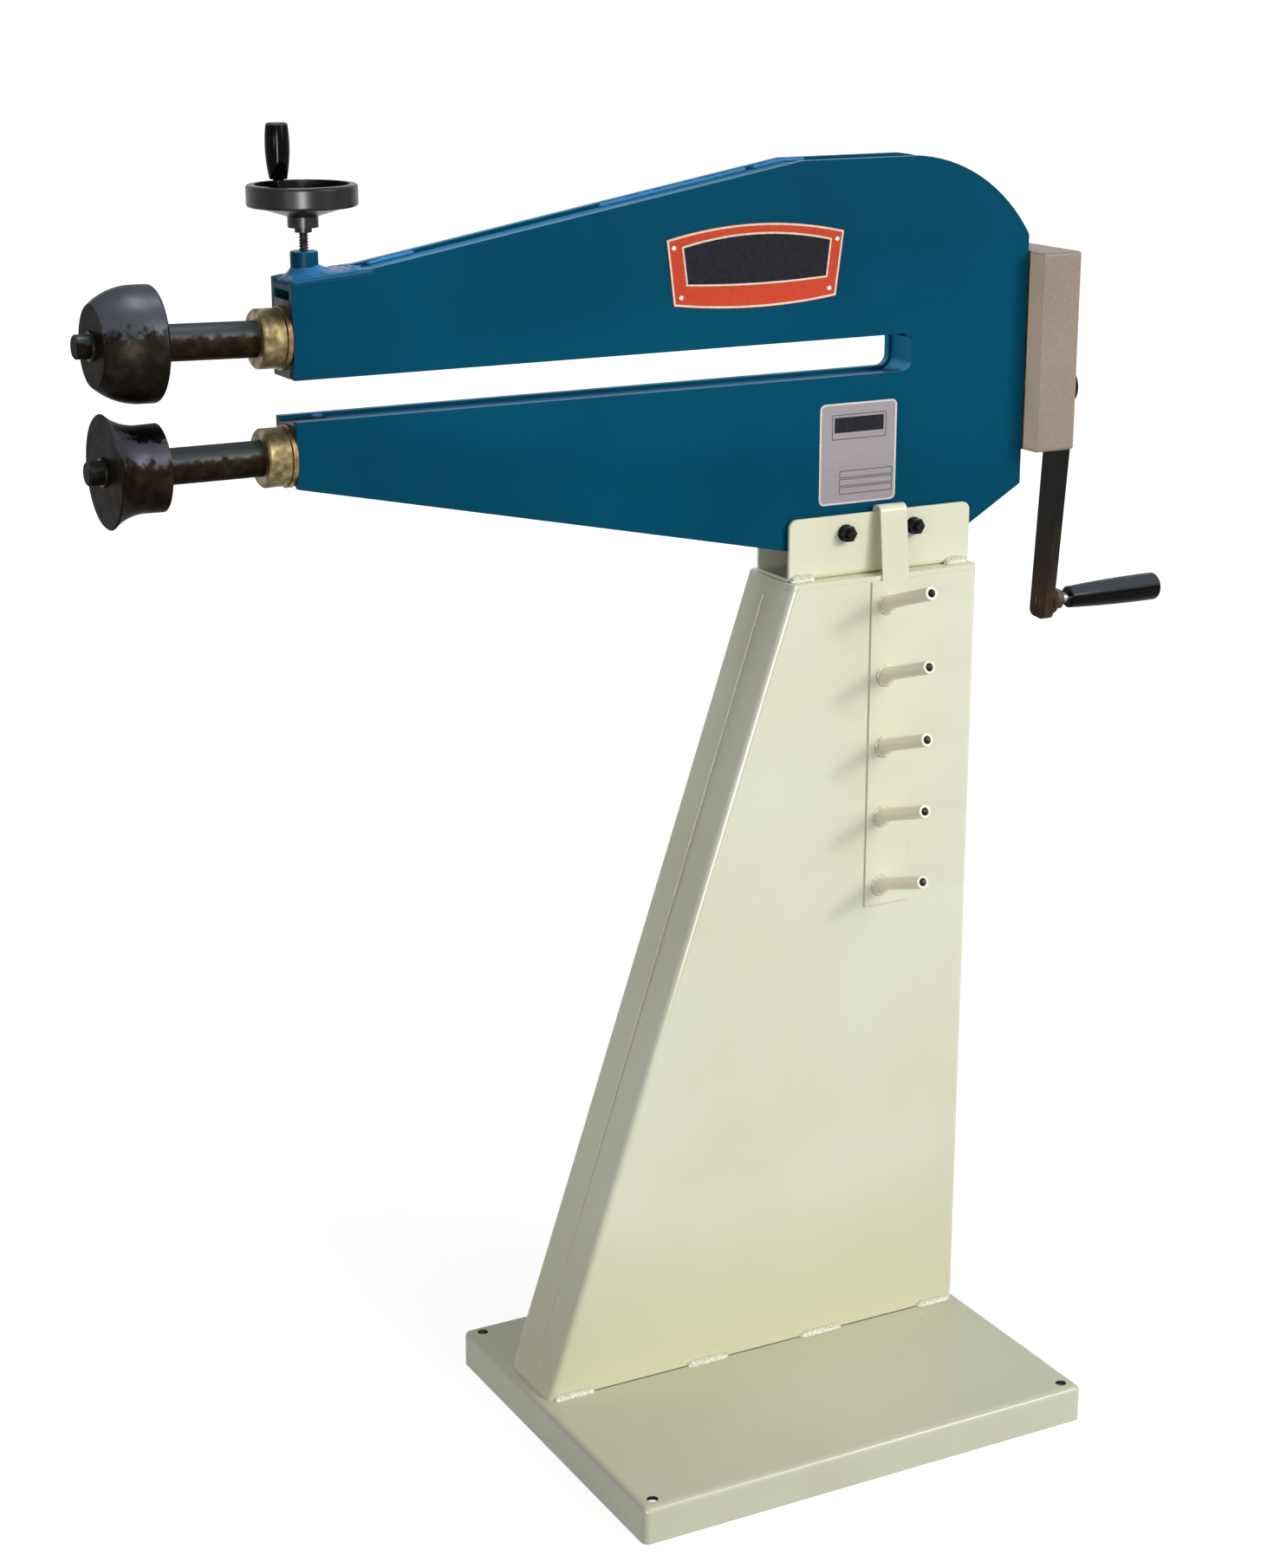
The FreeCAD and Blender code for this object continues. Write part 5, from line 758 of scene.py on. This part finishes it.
def weld_bead(shape, stations, seed, closed=False, ripple=0.30):
    """Skins a bead along stations of (corner, first leg, second leg, crown)."""
    hand = random.Random(seed)
    travelled = [0.0]
    for here, there in zip(stations, stations[1:]):
        travelled.append(travelled[-1] + (there[0] - here[0]).length)
    total = travelled[-1]
    drifts = [hand.uniform(-1, 1) for _ in range(int(total / BEAD_WANDER) + 3)]
    if closed:
        drifts[-3:] = [drifts[0]] * 3
    rings = []
    for (corner, first, second, crown), along in zip(stations, travelled):
        step, share = divmod(along / BEAD_WANDER, 1)
        before, after = drifts[int(step):int(step) + 2]
        size = 1 + BEAD_WANDER_SHARE * (before + (after - before) * ease(share))
        end = min(along, total - along) / first.length
        if end < 1 and not closed:
            size *= max(BEAD_END_SHARE, math.sqrt(1 - (1 - end) ** 2))
        inwards = -crown.normalized() * BEAD_SUNK
        ring = [corner + inwards * 4]
        for i in range(BEAD_POINTS):
            across = i / (BEAD_POINTS - 1)
            arch = 4 * across * (1 - across)
            puddle = abs(math.sin(math.pi * along / BEAD_RIPPLE + BEAD_CRESCENT * arch))
            swell = arch * size * (1 - ripple + ripple * puddle)
            chord = (first * (1 - across) + second * across) * size
            ring.append(corner + chord + crown * swell + inwards * (1 - arch))
        rings.append(ring)
    skin_rings(shape, rings, closed)


def fillet_legs(side, leg, flat_share, crown_share):
    """Upright leg, flat leg and crown of a fillet on the near (-1) or the far side (1) of a wall."""
    outwards = Vector((0, side, 0))
    return UP * leg, outwards * leg * flat_share, (UP + outwards).normalized() * leg * crown_share


def stitch(shape, x0, x1, y, z, legs, seed, ripple=0.30):
    """One straight bead along X."""
    weld_bead(shape, run(Vector((x0, y, z)), Vector((x1, y, z)), *legs), seed, ripple=ripple)


print("bead helpers ready")

# %% [markdown]
# ## Welds of the stand and the cradle
# The foot of the stand carries four stitches along each side, and the cradle one at each end of
# each flange. They are fillets, so one leg climbs the wall and the other lies on the plate below.

# %% Cream welds
FOOT_LEG = 6.5 * MM
FOOT_STITCHES = [(-278, -224), (-98, -40), (62, 122), (234, 284)]
CRADLE_LEG = 8.5 * MM
CRADLE_STITCH = 33 * MM
CRADLE_END = 1 * MM
COARSE_RIPPLE = 0.6

stand_low, stand_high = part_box("stand_near_shell")
deck_low, deck_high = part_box("stand_deck")
cradle_low, cradle_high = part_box("head_cradle")
base_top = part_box("base_pan")[1].z
stand_walls = ((-1, stand_low.y), (1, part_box("stand_far_shell")[1].y))

welds = bmesh.new()
for side, wall_y in stand_walls:
    legs = fillet_legs(side, FOOT_LEG, 1.0, 0.20)
    for number, (x0, x1) in enumerate(FOOT_STITCHES):
        stitch(welds, x0 * MM, x1 * MM, wall_y, base_top, legs, 10 + number + side, COARSE_RIPPLE)
stitch_starts = (cradle_low.x + CRADLE_END, cradle_high.x - CRADLE_END - CRADLE_STITCH)
for side, wall_y in ((-1, cradle_low.y), (1, cradle_high.y)):
    legs = fillet_legs(side, CRADLE_LEG, 0.8, 0.22)
    for number, x0 in enumerate(stitch_starts):
        seed = 20 + number + side
        stitch(welds, x0, x0 + CRADLE_STITCH, wall_y, deck_high.z, legs, seed, COARSE_RIPPLE)
new_piece("stand_welds", welds, weld_cream)
print("stitches:", 2 * len(FOOT_STITCHES), "at the foot,", 2 * len(stitch_starts), "at the cradle")

# %% [markdown]
# Between the stitches the lower edges of the sheets stand on the base over a thin shadow gap. A
# brown bar under a millimetre high, standing just proud of each wall, paints that shadow along the
# foot. It stops where the folds of the stand begin.

# %% Joint lines at the foot
JOINT_HEIGHT = 0.9 * MM
JOINT_PROUD = 0.25 * MM
JOINT_SUNK = 0.5 * MM
SHELL_CORNER = 9 * MM

joints = bmesh.new()
section = ((-JOINT_SUNK, 0), (JOINT_PROUD, 0), (JOINT_PROUD, JOINT_HEIGHT), (-JOINT_SUNK, JOINT_HEIGHT))
for side, wall_y in stand_walls:
    ends = (stand_low.x + SHELL_CORNER, stand_high.x - SHELL_CORNER)
    rings = [[Vector((x, wall_y + side * out, base_top + up)) for out, up in section] for x in ends]
    skin_rings(joints, rings)
# The brown bar is a painted shadow gap.
new_piece("foot_shadow_gap_lines", joints, shadow_gap_brown, smooth=False)
print("joint lines at y =", [round(wall_y, 3) for side, wall_y in stand_walls])

# %% [markdown]
# Both sheets of the stand meet on a seam that runs up the sloped front and the upright back. That
# weld was ground nearly flat and reads as a faint raised line. It is a bead too, with legs that lie
# flat to the left and right, hardly any ripple, and the paint of the stand itself.

# %% Seam of the stand
SEAM_HALF = 2.4 * MM
SEAM_RISE = 1.3 * MM
SEAM_SPAN = (0.004, 0.983)
SLOPE_PAST_DECK = 2 * MM

seam = bmesh.new()
across = Vector((0, SEAM_HALF, 0))
slope_foot = Vector((stand_low.x, stand_high.y, base_top))
slope_top = Vector((deck_low.x - SLOPE_PAST_DECK, stand_high.y, deck_high.z))
back_foot = Vector((stand_high.x, stand_high.y, base_top))
back_top = Vector((stand_high.x, stand_high.y, deck_high.z))
for foot, top, outwards in (
        (slope_foot, slope_top, (slope_top - slope_foot).cross(Vector((0, 1, 0))).normalized()),
        (back_foot, back_top, Vector((1, 0, 0)))):
    start, end = [foot.lerp(top, share) for share in SEAM_SPAN]
    weld_bead(seam, run(start, end, -across, across, outwards * SEAM_RISE)[::2], 31, ripple=0.12)
new_piece("stand_seam_weld", seam, stand_cream)
print("seam", round((slope_top - slope_foot).length, 3), "m up the front")

# %% [markdown]
# ## Welds in the groove of the head
# A narrow strip closes the gap between the two plates and sits a few millimetres below their
# edges. In the groove that this leaves, short beads tie it to the plates. The strip slopes with
# the arm, so each station of a bead is dropped straight down onto it: a ray against the model's
# own faces tells the height. A last pair of short stitches ties the lower front block.

# %% Blue welds
GROOVE_LEG = 4.2 * MM
GROOVE_CROWN = 0.30
GROOVE_STITCHES = [(-175, 11), (16, 86), (-448, -392)]
FRONT_STITCH = (-516, -501)
PROBE_IN = 2 * MM

gap_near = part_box("near_frame_plate")[1].y
gap_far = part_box("far_frame_plate")[0].y
block_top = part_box("lower_front_block")[1].z
strip = solid_tree("top_spacer_strip", "lower_front_block", "bottom_spacer_strip", "slot_spacer_strip")

groove = bmesh.new()
for side, wall_y in ((1, gap_near), (-1, gap_far)):
    legs = fillet_legs(side, GROOVE_LEG, 1.2, GROOVE_CROWN)
    for number, (x0, x1) in enumerate(GROOVE_STITCHES):
        stations = []
        for i in range(int((x1 - x0) * MM / BEAD_STEP)):
            x = x0 * MM + i * BEAD_STEP
            corner = Vector((x, wall_y, top_at(strip, x, wall_y + side * PROBE_IN)))
            stations.append((corner, *legs))
        weld_bead(groove, stations, 40 + number + side)
    legs = fillet_legs(side, GROOVE_LEG, 1.0, GROOVE_CROWN)
    stitch(groove, FRONT_STITCH[0] * MM, FRONT_STITCH[1] * MM, wall_y, block_top, legs, 50 + side)
new_piece("head_groove_welds", groove, weld_blue)
print("groove stitches:", 2 * len(GROOVE_STITCHES) + 2)

# %% [markdown]
# ## The thick weld on the nose
# A round nut stands on the nose for the adjusting screw. The groove round it is filled with weld, up
# to and over the upper edges of both plates, and ground smooth, so the nose looks cast in one piece.
# The fill climbs up the nut and runs out into the groove behind it. Its sections stand a millimetre
# apart along X. Each is a closed loop: a soft back over the plates, and a way back inside the steel.

# %% Height of the nose weld
BOSS_CLIMB = 8.5 * MM
BOSS_CLIMB_POWER = 2.2
BOSS_REACH = 12 * MM
BOSS_REACH_BEHIND = 12 * MM
BOSS_OVERLAP = 0.4 * MM
NOSE_WELD_RISE = 1.5 * MM
NOSE_RIPPLES = 9
NOSE_RIPPLE_SHARE = 0.011

boss_low, boss_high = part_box("screw_boss")
boss_axis = (boss_low + boss_high) / 2
boss_radius = (boss_high.x - boss_low.x) / 2
hand = random.Random(60)
ripples = []
for _ in range(NOSE_RIPPLES):
    turn = hand.uniform(0, math.tau)
    length = hand.uniform(5, 22) * MM
    phase = hand.uniform(0, math.tau)
    ripples.append((math.cos(turn) / length, math.sin(turn) / length, phase, length * NOSE_RIPPLE_SHARE))


def weld_height(x, y):
    """Height of the fill over the plates: its own rise, the climb up the nut and slow ripples."""
    away = math.hypot(x - boss_axis.x, y - boss_axis.y)
    behind = max(0.0, (x - boss_axis.x) / max(away, MM))
    reach = BOSS_REACH + BOSS_REACH_BEHIND * behind ** 2
    near_boss = min(1.0, max(0.0, 1 - (away - boss_radius + BOSS_OVERLAP) / reach))
    wave = sum(math.sin(math.tau * (x * a + y * b) + phase) * size for a, b, phase, size in ripples)
    return NOSE_WELD_RISE + BOSS_CLIMB * near_boss ** BOSS_CLIMB_POWER + wave


print("nut on the nose:", round(2 * boss_radius / MM, 1), "mm across")

# %% Nose weld
NOSE_WELD_START = 0.5 * MM
NOSE_WELD_LENGTH = 96 * MM
NOSE_WELD_STEP = 1.0 * MM
NOSE_WELD_ACROSS = 45
NOSE_WELD_RUNOUT = 20 * MM
NOSE_WELD_PROUD = 0.9 * MM
NOSE_WELD_SUNK = 0.3 * MM
NOSE_EDGE_IN = 2.4 * MM
NOSE_EDGE_DROP = 0.7 * MM
PLATE_PROBE = 4 * MM
UNDER = 0.5 * MM

nose_plate = solid_tree("near_frame_plate")
near_face = plate_low.y
far_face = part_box("far_frame_plate")[1].y
saddle = bmesh.new()
rings = []
for step in range(round(NOSE_WELD_LENGTH / NOSE_WELD_STEP) + 1):
    x = plate_low.x + NOSE_WELD_START + step * NOSE_WELD_STEP
    top = top_at(nose_plate, x, near_face + PLATE_PROBE)
    groove_floor = top_at(strip, x, gap_near + PROBE_IN) - UNDER
    left = NOSE_WELD_LENGTH - step * NOSE_WELD_STEP
    full = ease(min(1.0, 0.55 + step / 8, max(0.0, left / NOSE_WELD_RUNOUT)))
    out = NOSE_WELD_SUNK - (NOSE_WELD_PROUD + NOSE_WELD_SUNK) * full
    # From inside the plate's face, out over the face and back in at its upper edge.
    shoulder = [
        (NOSE_WELD_SUNK, -8.0 * MM), (out * 0.7, -6.2 * MM), (out, -3.8 * MM), (out * 0.6, -1.4 * MM),
        (0.9 * MM, (0.9 * full - 0.4) * MM)]
    ring = [Vector((x, near_face + inwards, top + rise)) for inwards, rise in shoulder]
    for i in range(NOSE_WELD_ACROSS):
        share = i / (NOSE_WELD_ACROSS - 1)
        y = near_face + NOSE_EDGE_IN + (far_face - near_face - 2 * NOSE_EDGE_IN) * share
        low = groove_floor if gap_near < y < gap_far else top - UNDER
        high = top + weld_height(x, y) - NOSE_EDGE_DROP * (2 * share - 1) ** 8
        ring.append(Vector((x, y, low + (high - low) * full)))
    ring += [Vector((x, far_face - inwards, top + rise)) for inwards, rise in reversed(shoulder)]
    inside = top - 7 * MM
    way_back = (
        (far_face - 5 * MM, inside), (gap_far + MM, groove_floor),
        (gap_near - MM, groove_floor), (near_face + 5 * MM, inside))
    ring += [Vector((x, y, z)) for y, z in way_back]
    rings.append(ring)
skin_rings(saddle, rings)
new_piece("nose_weld", saddle, weld_blue)
print("nose weld", len(rings), "sections")

# %% [markdown]
# ## Cutting a real thread
# Between the boss and the handwheel the adjusting screw shows, so a plain rod would give the game
# away. A screw modifier can sweep a thread profile, but its ends are hard to close. Here rings are
# stacked a twelfth of a turn apart, and the radius of each point follows the thread's phase: height
# over pitch minus angle. The profile is cut off flat at crest and root, and fades out at both ends.
# Below the thread are the pin and the peened end that hold the swivel foot, above it the stud of
# the handwheel. The threaded screw takes the place of the model's plain one.

# %% Adjusting screw
SCREW_PITCH = 3.0 * MM
SCREW_RADIUS = 5.0 * MM
THREAD_DEPTH = 1.15 * MM
THREAD_SIDES = 48
RINGS_PER_TURN = 12
PEEN_RADIUS = 5.2 * MM
PEEN_HEIGHT = 2.2 * MM
PIN_RADIUS = 3.5 * MM
PIN_END = 6.1 * MM
STUD_RADIUS = 4.0 * MM
CHAMFER = 0.5 * MM
THREAD_CHAMFER = 0.6 * MM

screw_low, screw_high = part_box("adjusting_screw")
screw_axis = (screw_low + screw_high) / 2
thread_start = screw_low.z + PIN_END
thread_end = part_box("handwheel_nut")[0].z
peen_top = screw_low.z + PEEN_HEIGHT


def thread_radius(z, turn):
    """Radius of the cut thread at a height and an angle."""
    phase = (z / SCREW_PITCH - turn / math.tau) % 1
    ridge = min(1, max(0, 1.45 - 4 * abs(phase - 0.5)))
    fade = min(1, max(0, (z - thread_start) / SCREW_PITCH), max(0, (thread_end - z) / SCREW_PITCH))
    return SCREW_RADIUS - THREAD_DEPTH * (1 - ridge) * fade


def screw_ring(z, radius=None):
    """A ring round the screw's axis: a plain circle, or the thread if no radius is given."""
    ring = []
    for i in range(THREAD_SIDES):
        turn = math.tau * i / THREAD_SIDES
        size = radius or thread_radius(z, turn)
        x = screw_axis.x + math.cos(turn) * size
        y = screw_axis.y + math.sin(turn) * size
        ring.append(Vector((x, y, z)))
    return ring


foot_sections = [
    (screw_low.z, PEEN_RADIUS - CHAMFER), (screw_low.z + CHAMFER, PEEN_RADIUS), (peen_top, PEEN_RADIUS),
    (peen_top, PIN_RADIUS), (thread_start, PIN_RADIUS), (thread_start, SCREW_RADIUS - THREAD_CHAMFER)]
stud_sections = [
    (thread_end, SCREW_RADIUS), (thread_end, STUD_RADIUS), (screw_high.z - CHAMFER, STUD_RADIUS),
    (screw_high.z, STUD_RADIUS - CHAMFER)]
steps = math.ceil((thread_end - thread_start) / SCREW_PITCH * RINGS_PER_TURN)
rings = [screw_ring(*section) for section in foot_sections]
rings += [screw_ring(thread_start + (thread_end - thread_start) * i / steps) for i in range(1, steps)]
rings += [screw_ring(*section) for section in stud_sections]
screw = bmesh.new()
skin_rings(screw, rings)
screw_piece = new_piece("adjusting_screw_thread", screw, thread_steel, "screw_and_wheel")
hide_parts("adjusting_screw")
print("thread of", round((thread_end - thread_start) / SCREW_PITCH, 1), "turns")

# %% [markdown]
# ## Weld rings of the pegs
# Each peg of the rack is a tube welded to the plate all round its root. The model carries the cone
# of that weld. A lumpy ring is laid round it where it meets the plate. The pegs are found by
# grouping the model's own points that lie on the plate's face, so nothing has to be typed in twice.

# %% Peg welds
PEG_RISE = math.radians(18)
PEG_GAP = 30 * MM
PEG_RING_LEG = 2.4 * MM
PEG_RING_SUNK = 0.6 * MM
PEG_RING_STEPS = 96

peg_points = [vertex.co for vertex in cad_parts["tool_rack_pegs"].data.vertices]
peg_low, peg_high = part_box("tool_rack_pegs")
peg_x = (peg_low.x + peg_high.x) / 2
rack_face = peg_high.y
towards_peg = Vector((0, -math.cos(PEG_RISE), math.sin(PEG_RISE)))


def by_peg(values):
    """Numbers in rising order, split where the next peg begins."""
    ordered = sorted(values)
    groups = [[ordered[0]]]
    for value in ordered[1:]:
        if value - groups[-1][-1] > PEG_GAP:
            groups.append([])
        groups[-1].append(value)
    return groups


roots = by_peg(point.z for point in peg_points if point.y > rack_face - 0.2 * MM)
collars = bmesh.new()
for number, heights in enumerate(roots):
    centre = Vector((peg_x, rack_face, (heights[0] + heights[-1]) / 2))
    half = (heights[-1] - heights[0]) / 2
    stations = []
    for i in range(PEG_RING_STEPS):
        turn = math.tau * i / PEG_RING_STEPS
        outwards = Vector((math.cos(turn), 0, math.sin(turn)))
        corner = centre + outwards * (half - PEG_RING_SUNK)
        first = towards_peg * PEG_RING_LEG - outwards * PEG_RING_LEG * 0.3
        crown = (outwards - Vector((0, 1, 0))).normalized() * PEG_RING_LEG * 0.35
        stations.append((corner, first, outwards * PEG_RING_LEG, crown))
    weld_bead(collars, stations, 70 + number, closed=True)
new_piece("rack_peg_welds", collars, weld_cream, "rack")
print("pegs:", len(roots), "at heights", [round(heights[0], 3) for heights in roots])

# %% [markdown]
# The inside of the pegs lies in shade, so their bores look black. Each gets a thin dark sleeve
# just inside the mouth as painted shade. The axis of a peg is found from the points of its own end
# face.

# %% Bores of the pegs
BORE_RADIUS = 4.86 * MM
BORE_DEPTH = (0.5 * MM, 45 * MM)
SLEEVE_SKIN = 0.25 * MM
SLEEVE_SIDES = 32
ALONG_X = Vector((1, 0, 0))
across_peg = Vector((0, math.sin(PEG_RISE), math.cos(PEG_RISE)))


def sleeve(shape, middle, axis, radius, near, far):
    """A thin dark tube inside a hole as painted shade, from one depth to another against the axis."""
    turns = [math.tau * i / SLEEVE_SIDES for i in range(SLEEVE_SIDES)]
    rounds = [ALONG_X * math.cos(turn) + axis.cross(ALONG_X) * math.sin(turn) for turn in turns]
    thin = radius - SLEEVE_SKIN
    sections = ((near, radius), (near, thin), (far, thin), (far, radius))
    rings = [[middle - axis * depth + spoke * size for spoke in rounds] for depth, size in sections]
    skin_rings(shape, rings, closed=True)


bores = bmesh.new()
for offsets in by_peg(point.dot(across_peg) for point in peg_points):
    own = [point for point in peg_points if offsets[0] <= point.dot(across_peg) <= offsets[-1]]
    mouth = max(point.dot(towards_peg) for point in own)
    rim = [point.dot(across_peg) for point in own if point.dot(towards_peg) > mouth - 0.1 * MM]
    middle = across_peg * (min(rim) + max(rim)) / 2 + Vector((peg_x, 0, 0)) + towards_peg * mouth
    sleeve(bores, middle, towards_peg, BORE_RADIUS, *BORE_DEPTH)
# The sleeves are painted shade inside the bores.
new_piece("rack_peg_bore_shades", bores, dark_steel, "rack")
print("bores of", 2 * BORE_RADIUS / MM, "mm")

# %% [markdown]
# The base has a hole for an anchor bolt in each corner. The walls of these holes lie in shade like
# the bores of the pegs, so the same dark sleeve lines them as painted shade, a little shorter than
# the sheet is thick.

# %% Walls of the anchor holes
ANCHOR_RADIUS = 6.56 * MM
ANCHOR_INSET = (19 * MM, 17 * MM)
ANCHOR_DEPTH = (0.4 * MM, 4.6 * MM)

pan_low, pan_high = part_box("base_pan")
walls = bmesh.new()
for x in (pan_low.x + ANCHOR_INSET[0], pan_high.x - ANCHOR_INSET[0]):
    for y in (pan_low.y + ANCHOR_INSET[1], pan_high.y - ANCHOR_INSET[1]):
        sleeve(walls, Vector((x, y, pan_high.z)), UP, ANCHOR_RADIUS, *ANCHOR_DEPTH)
# The sleeves are painted shade inside the anchor holes.
new_piece("anchor_hole_shades", walls, dark_steel)
print("anchor holes of", 2 * ANCHOR_RADIUS / MM, "mm")

# %% [markdown]
# ## Faces of the two plates
# The name plate is an enamelled badge: a thin cream border, a red field and a black panel with a
# cream outline. The rating plate has a pale border, a dark panel and three empty fields. No words
# belong on either. Both are raised by a fraction of a millimetre, so they are thin bands cut along
# an outline. An outline is a list of points, moved inwards along its own normals for each band.

# %% Band helpers
BAND_SUNK = 0.05 * MM
BROKEN_SHARE = 0.5


def inset(outline, distance):
    """The outline moved inwards, corner by corner. It runs counterclockwise in X and Z."""
    moved = []
    count = len(outline)
    for i, (x, z) in enumerate(outline):
        before = outline[i - 1]
        after = outline[(i + 1) % count]
        a = Vector((x - before[0], z - before[1])).normalized()
        b = Vector((after[0] - x, after[1] - z)).normalized()
        normal = (Vector((-a.y, a.x)) + Vector((-b.y, b.x))).normalized()
        stretch = 1 / max(0.5, normal.dot(Vector((-a.y, a.x))))
        moved.append((x + normal.x * distance * stretch, z + normal.y * distance * stretch))
    return moved


def raised_band(shape, outer, inner, face_y, thickness):
    """A flat ring between two outlines that stands out of a face, with its edges broken."""
    broken = thickness * BROKEN_SHARE
    outlines = (outer, outer, inset(outer, broken), inset(inner, -broken), inner, inner)
    heights = (0.0, broken, thickness, thickness, broken, 0.0)
    rings = []
    for corners in zip(*outlines):
        rings.append([Vector((x, face_y + BAND_SUNK - out, z)) for (x, z), out in zip(corners, heights)])
    skin_rings(shape, rings, closed=True)


def raised_panel(shape, outline, face_y, thickness):
    """A flat panel that stands out of a face, with its edge broken."""
    broken = thickness * BROKEN_SHARE
    sections = ((outline, -BAND_SUNK), (outline, broken), (inset(outline, broken), thickness))
    skin_rings(shape, [[Vector((x, face_y - out, z)) for x, z in edge] for edge, out in sections])


def bowed_edge(start, end, z, bow, steps=24):
    """Points from one x to another at a height, with the middle moved up by the bow."""
    shares = [i / steps for i in range(steps + 1)]
    return [(start + (end - start) * share, z + bow * 4 * share * (1 - share)) for share in shares]


def rounded_outline(x0, z0, x1, z1, radius, steps=6):
    """A rectangle with round corners, counterclockwise."""
    left = x0 + radius
    right = x1 - radius
    low = z0 + radius
    high = z1 - radius
    points = []
    for x, z, start in ((right, low, -90), (right, high, 0), (left, high, 90), (left, low, 180)):
        for i in range(steps + 1):
            turn = math.radians(start + 90 * i / steps)
            points.append((x + radius * math.cos(turn), z + radius * math.sin(turn)))
    return points


print("band helpers ready")

# %% Name plate
# Lower and upper edge, in millimetres: start and end from the middle of the plate, height from its
# lower or upper side, and bow.
PLATE_EDGES = ((-103.5, 103.5, 7, -7), (113, -113, -13, 13))
PANEL_EDGES = ((-88, 92, 28, -3), (97, -94, -21, 11))
BORDER = (0.4 * MM, 2.6 * MM)
PANEL_LINE = 2.2 * MM
RELIEF = 0.35 * MM

badge_low, badge_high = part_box("name_plate")
badge_x = (badge_low.x + badge_high.x) / 2


def badge_outline(edges):
    points = []
    for side_z, (start, end, height, bow) in zip((badge_low.z, badge_high.z), edges):
        points += bowed_edge(badge_x + start * MM, badge_x + end * MM, side_z + height * MM, bow * MM)
    return points


edge = badge_outline(PLATE_EDGES)
panel = badge_outline(PANEL_EDGES)
cream = bmesh.new()
raised_band(cream, inset(edge, BORDER[0]), inset(edge, BORDER[1]), badge_low.y, RELIEF)
raised_band(cream, panel, inset(panel, PANEL_LINE), badge_low.y, RELIEF)
new_piece("name_plate_borders", cream, badge_cream, smooth=False)
black = bmesh.new()
raised_panel(black, inset(panel, PANEL_LINE), badge_low.y, RELIEF * 0.5)
new_piece("name_plate_panel", black, badge_black, smooth=False)
print("name plate", round((badge_high.x - badge_low.x) / MM), "mm wide")

# %% Rating plate
RATING_CORNER = 7.0 * MM
RATING_BORDER = (0.3 * MM, 2.4 * MM)
RATING_RELIEF = 0.18 * MM
LINE = 1.0 * MM
FIELD_TOPS = (78, 87.5, 97)
FIELD_HEIGHT = 8.5
FIELD_CORNER = 1.0 * MM

rating_low, rating_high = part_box("rating_plate")


def on_rating(left, top, right, bottom, corner):
    """A rounded field of the rating plate, in millimetres from its left and upper edges."""
    x0 = rating_low.x + left * MM
    x1 = rating_low.x + right * MM
    return rounded_outline(x0, rating_high.z - bottom * MM, x1, rating_high.z - top * MM, corner)


edge = rounded_outline(rating_low.x, rating_low.z, rating_high.x, rating_high.z, RATING_CORNER)
pale = bmesh.new()
raised_band(pale, *[inset(edge, distance) for distance in RATING_BORDER], rating_low.y, RATING_RELIEF)
new_piece("rating_plate_border", pale, plate_line, smooth=False)
fields = bmesh.new()
outlines = [on_rating(27, top, 99, top + FIELD_HEIGHT, FIELD_CORNER) for top in FIELD_TOPS]
outlines.append(on_rating(16, 13, 89, 42, 2 * FIELD_CORNER))
for outline in outlines:
    raised_band(fields, outline, inset(outline, LINE), rating_low.y, RATING_RELIEF)
new_piece("rating_plate_fields", fields, plate_dark, smooth=False)
patch = bmesh.new()
raised_panel(patch, on_rating(19.5, 16.5, 85.5, 34, FIELD_CORNER), rating_low.y, RATING_RELIEF)
new_piece("rating_plate_panel", patch, badge_black, smooth=False)
print("rating plate", round((rating_high.x - rating_low.x) / MM, 1), "mm wide")
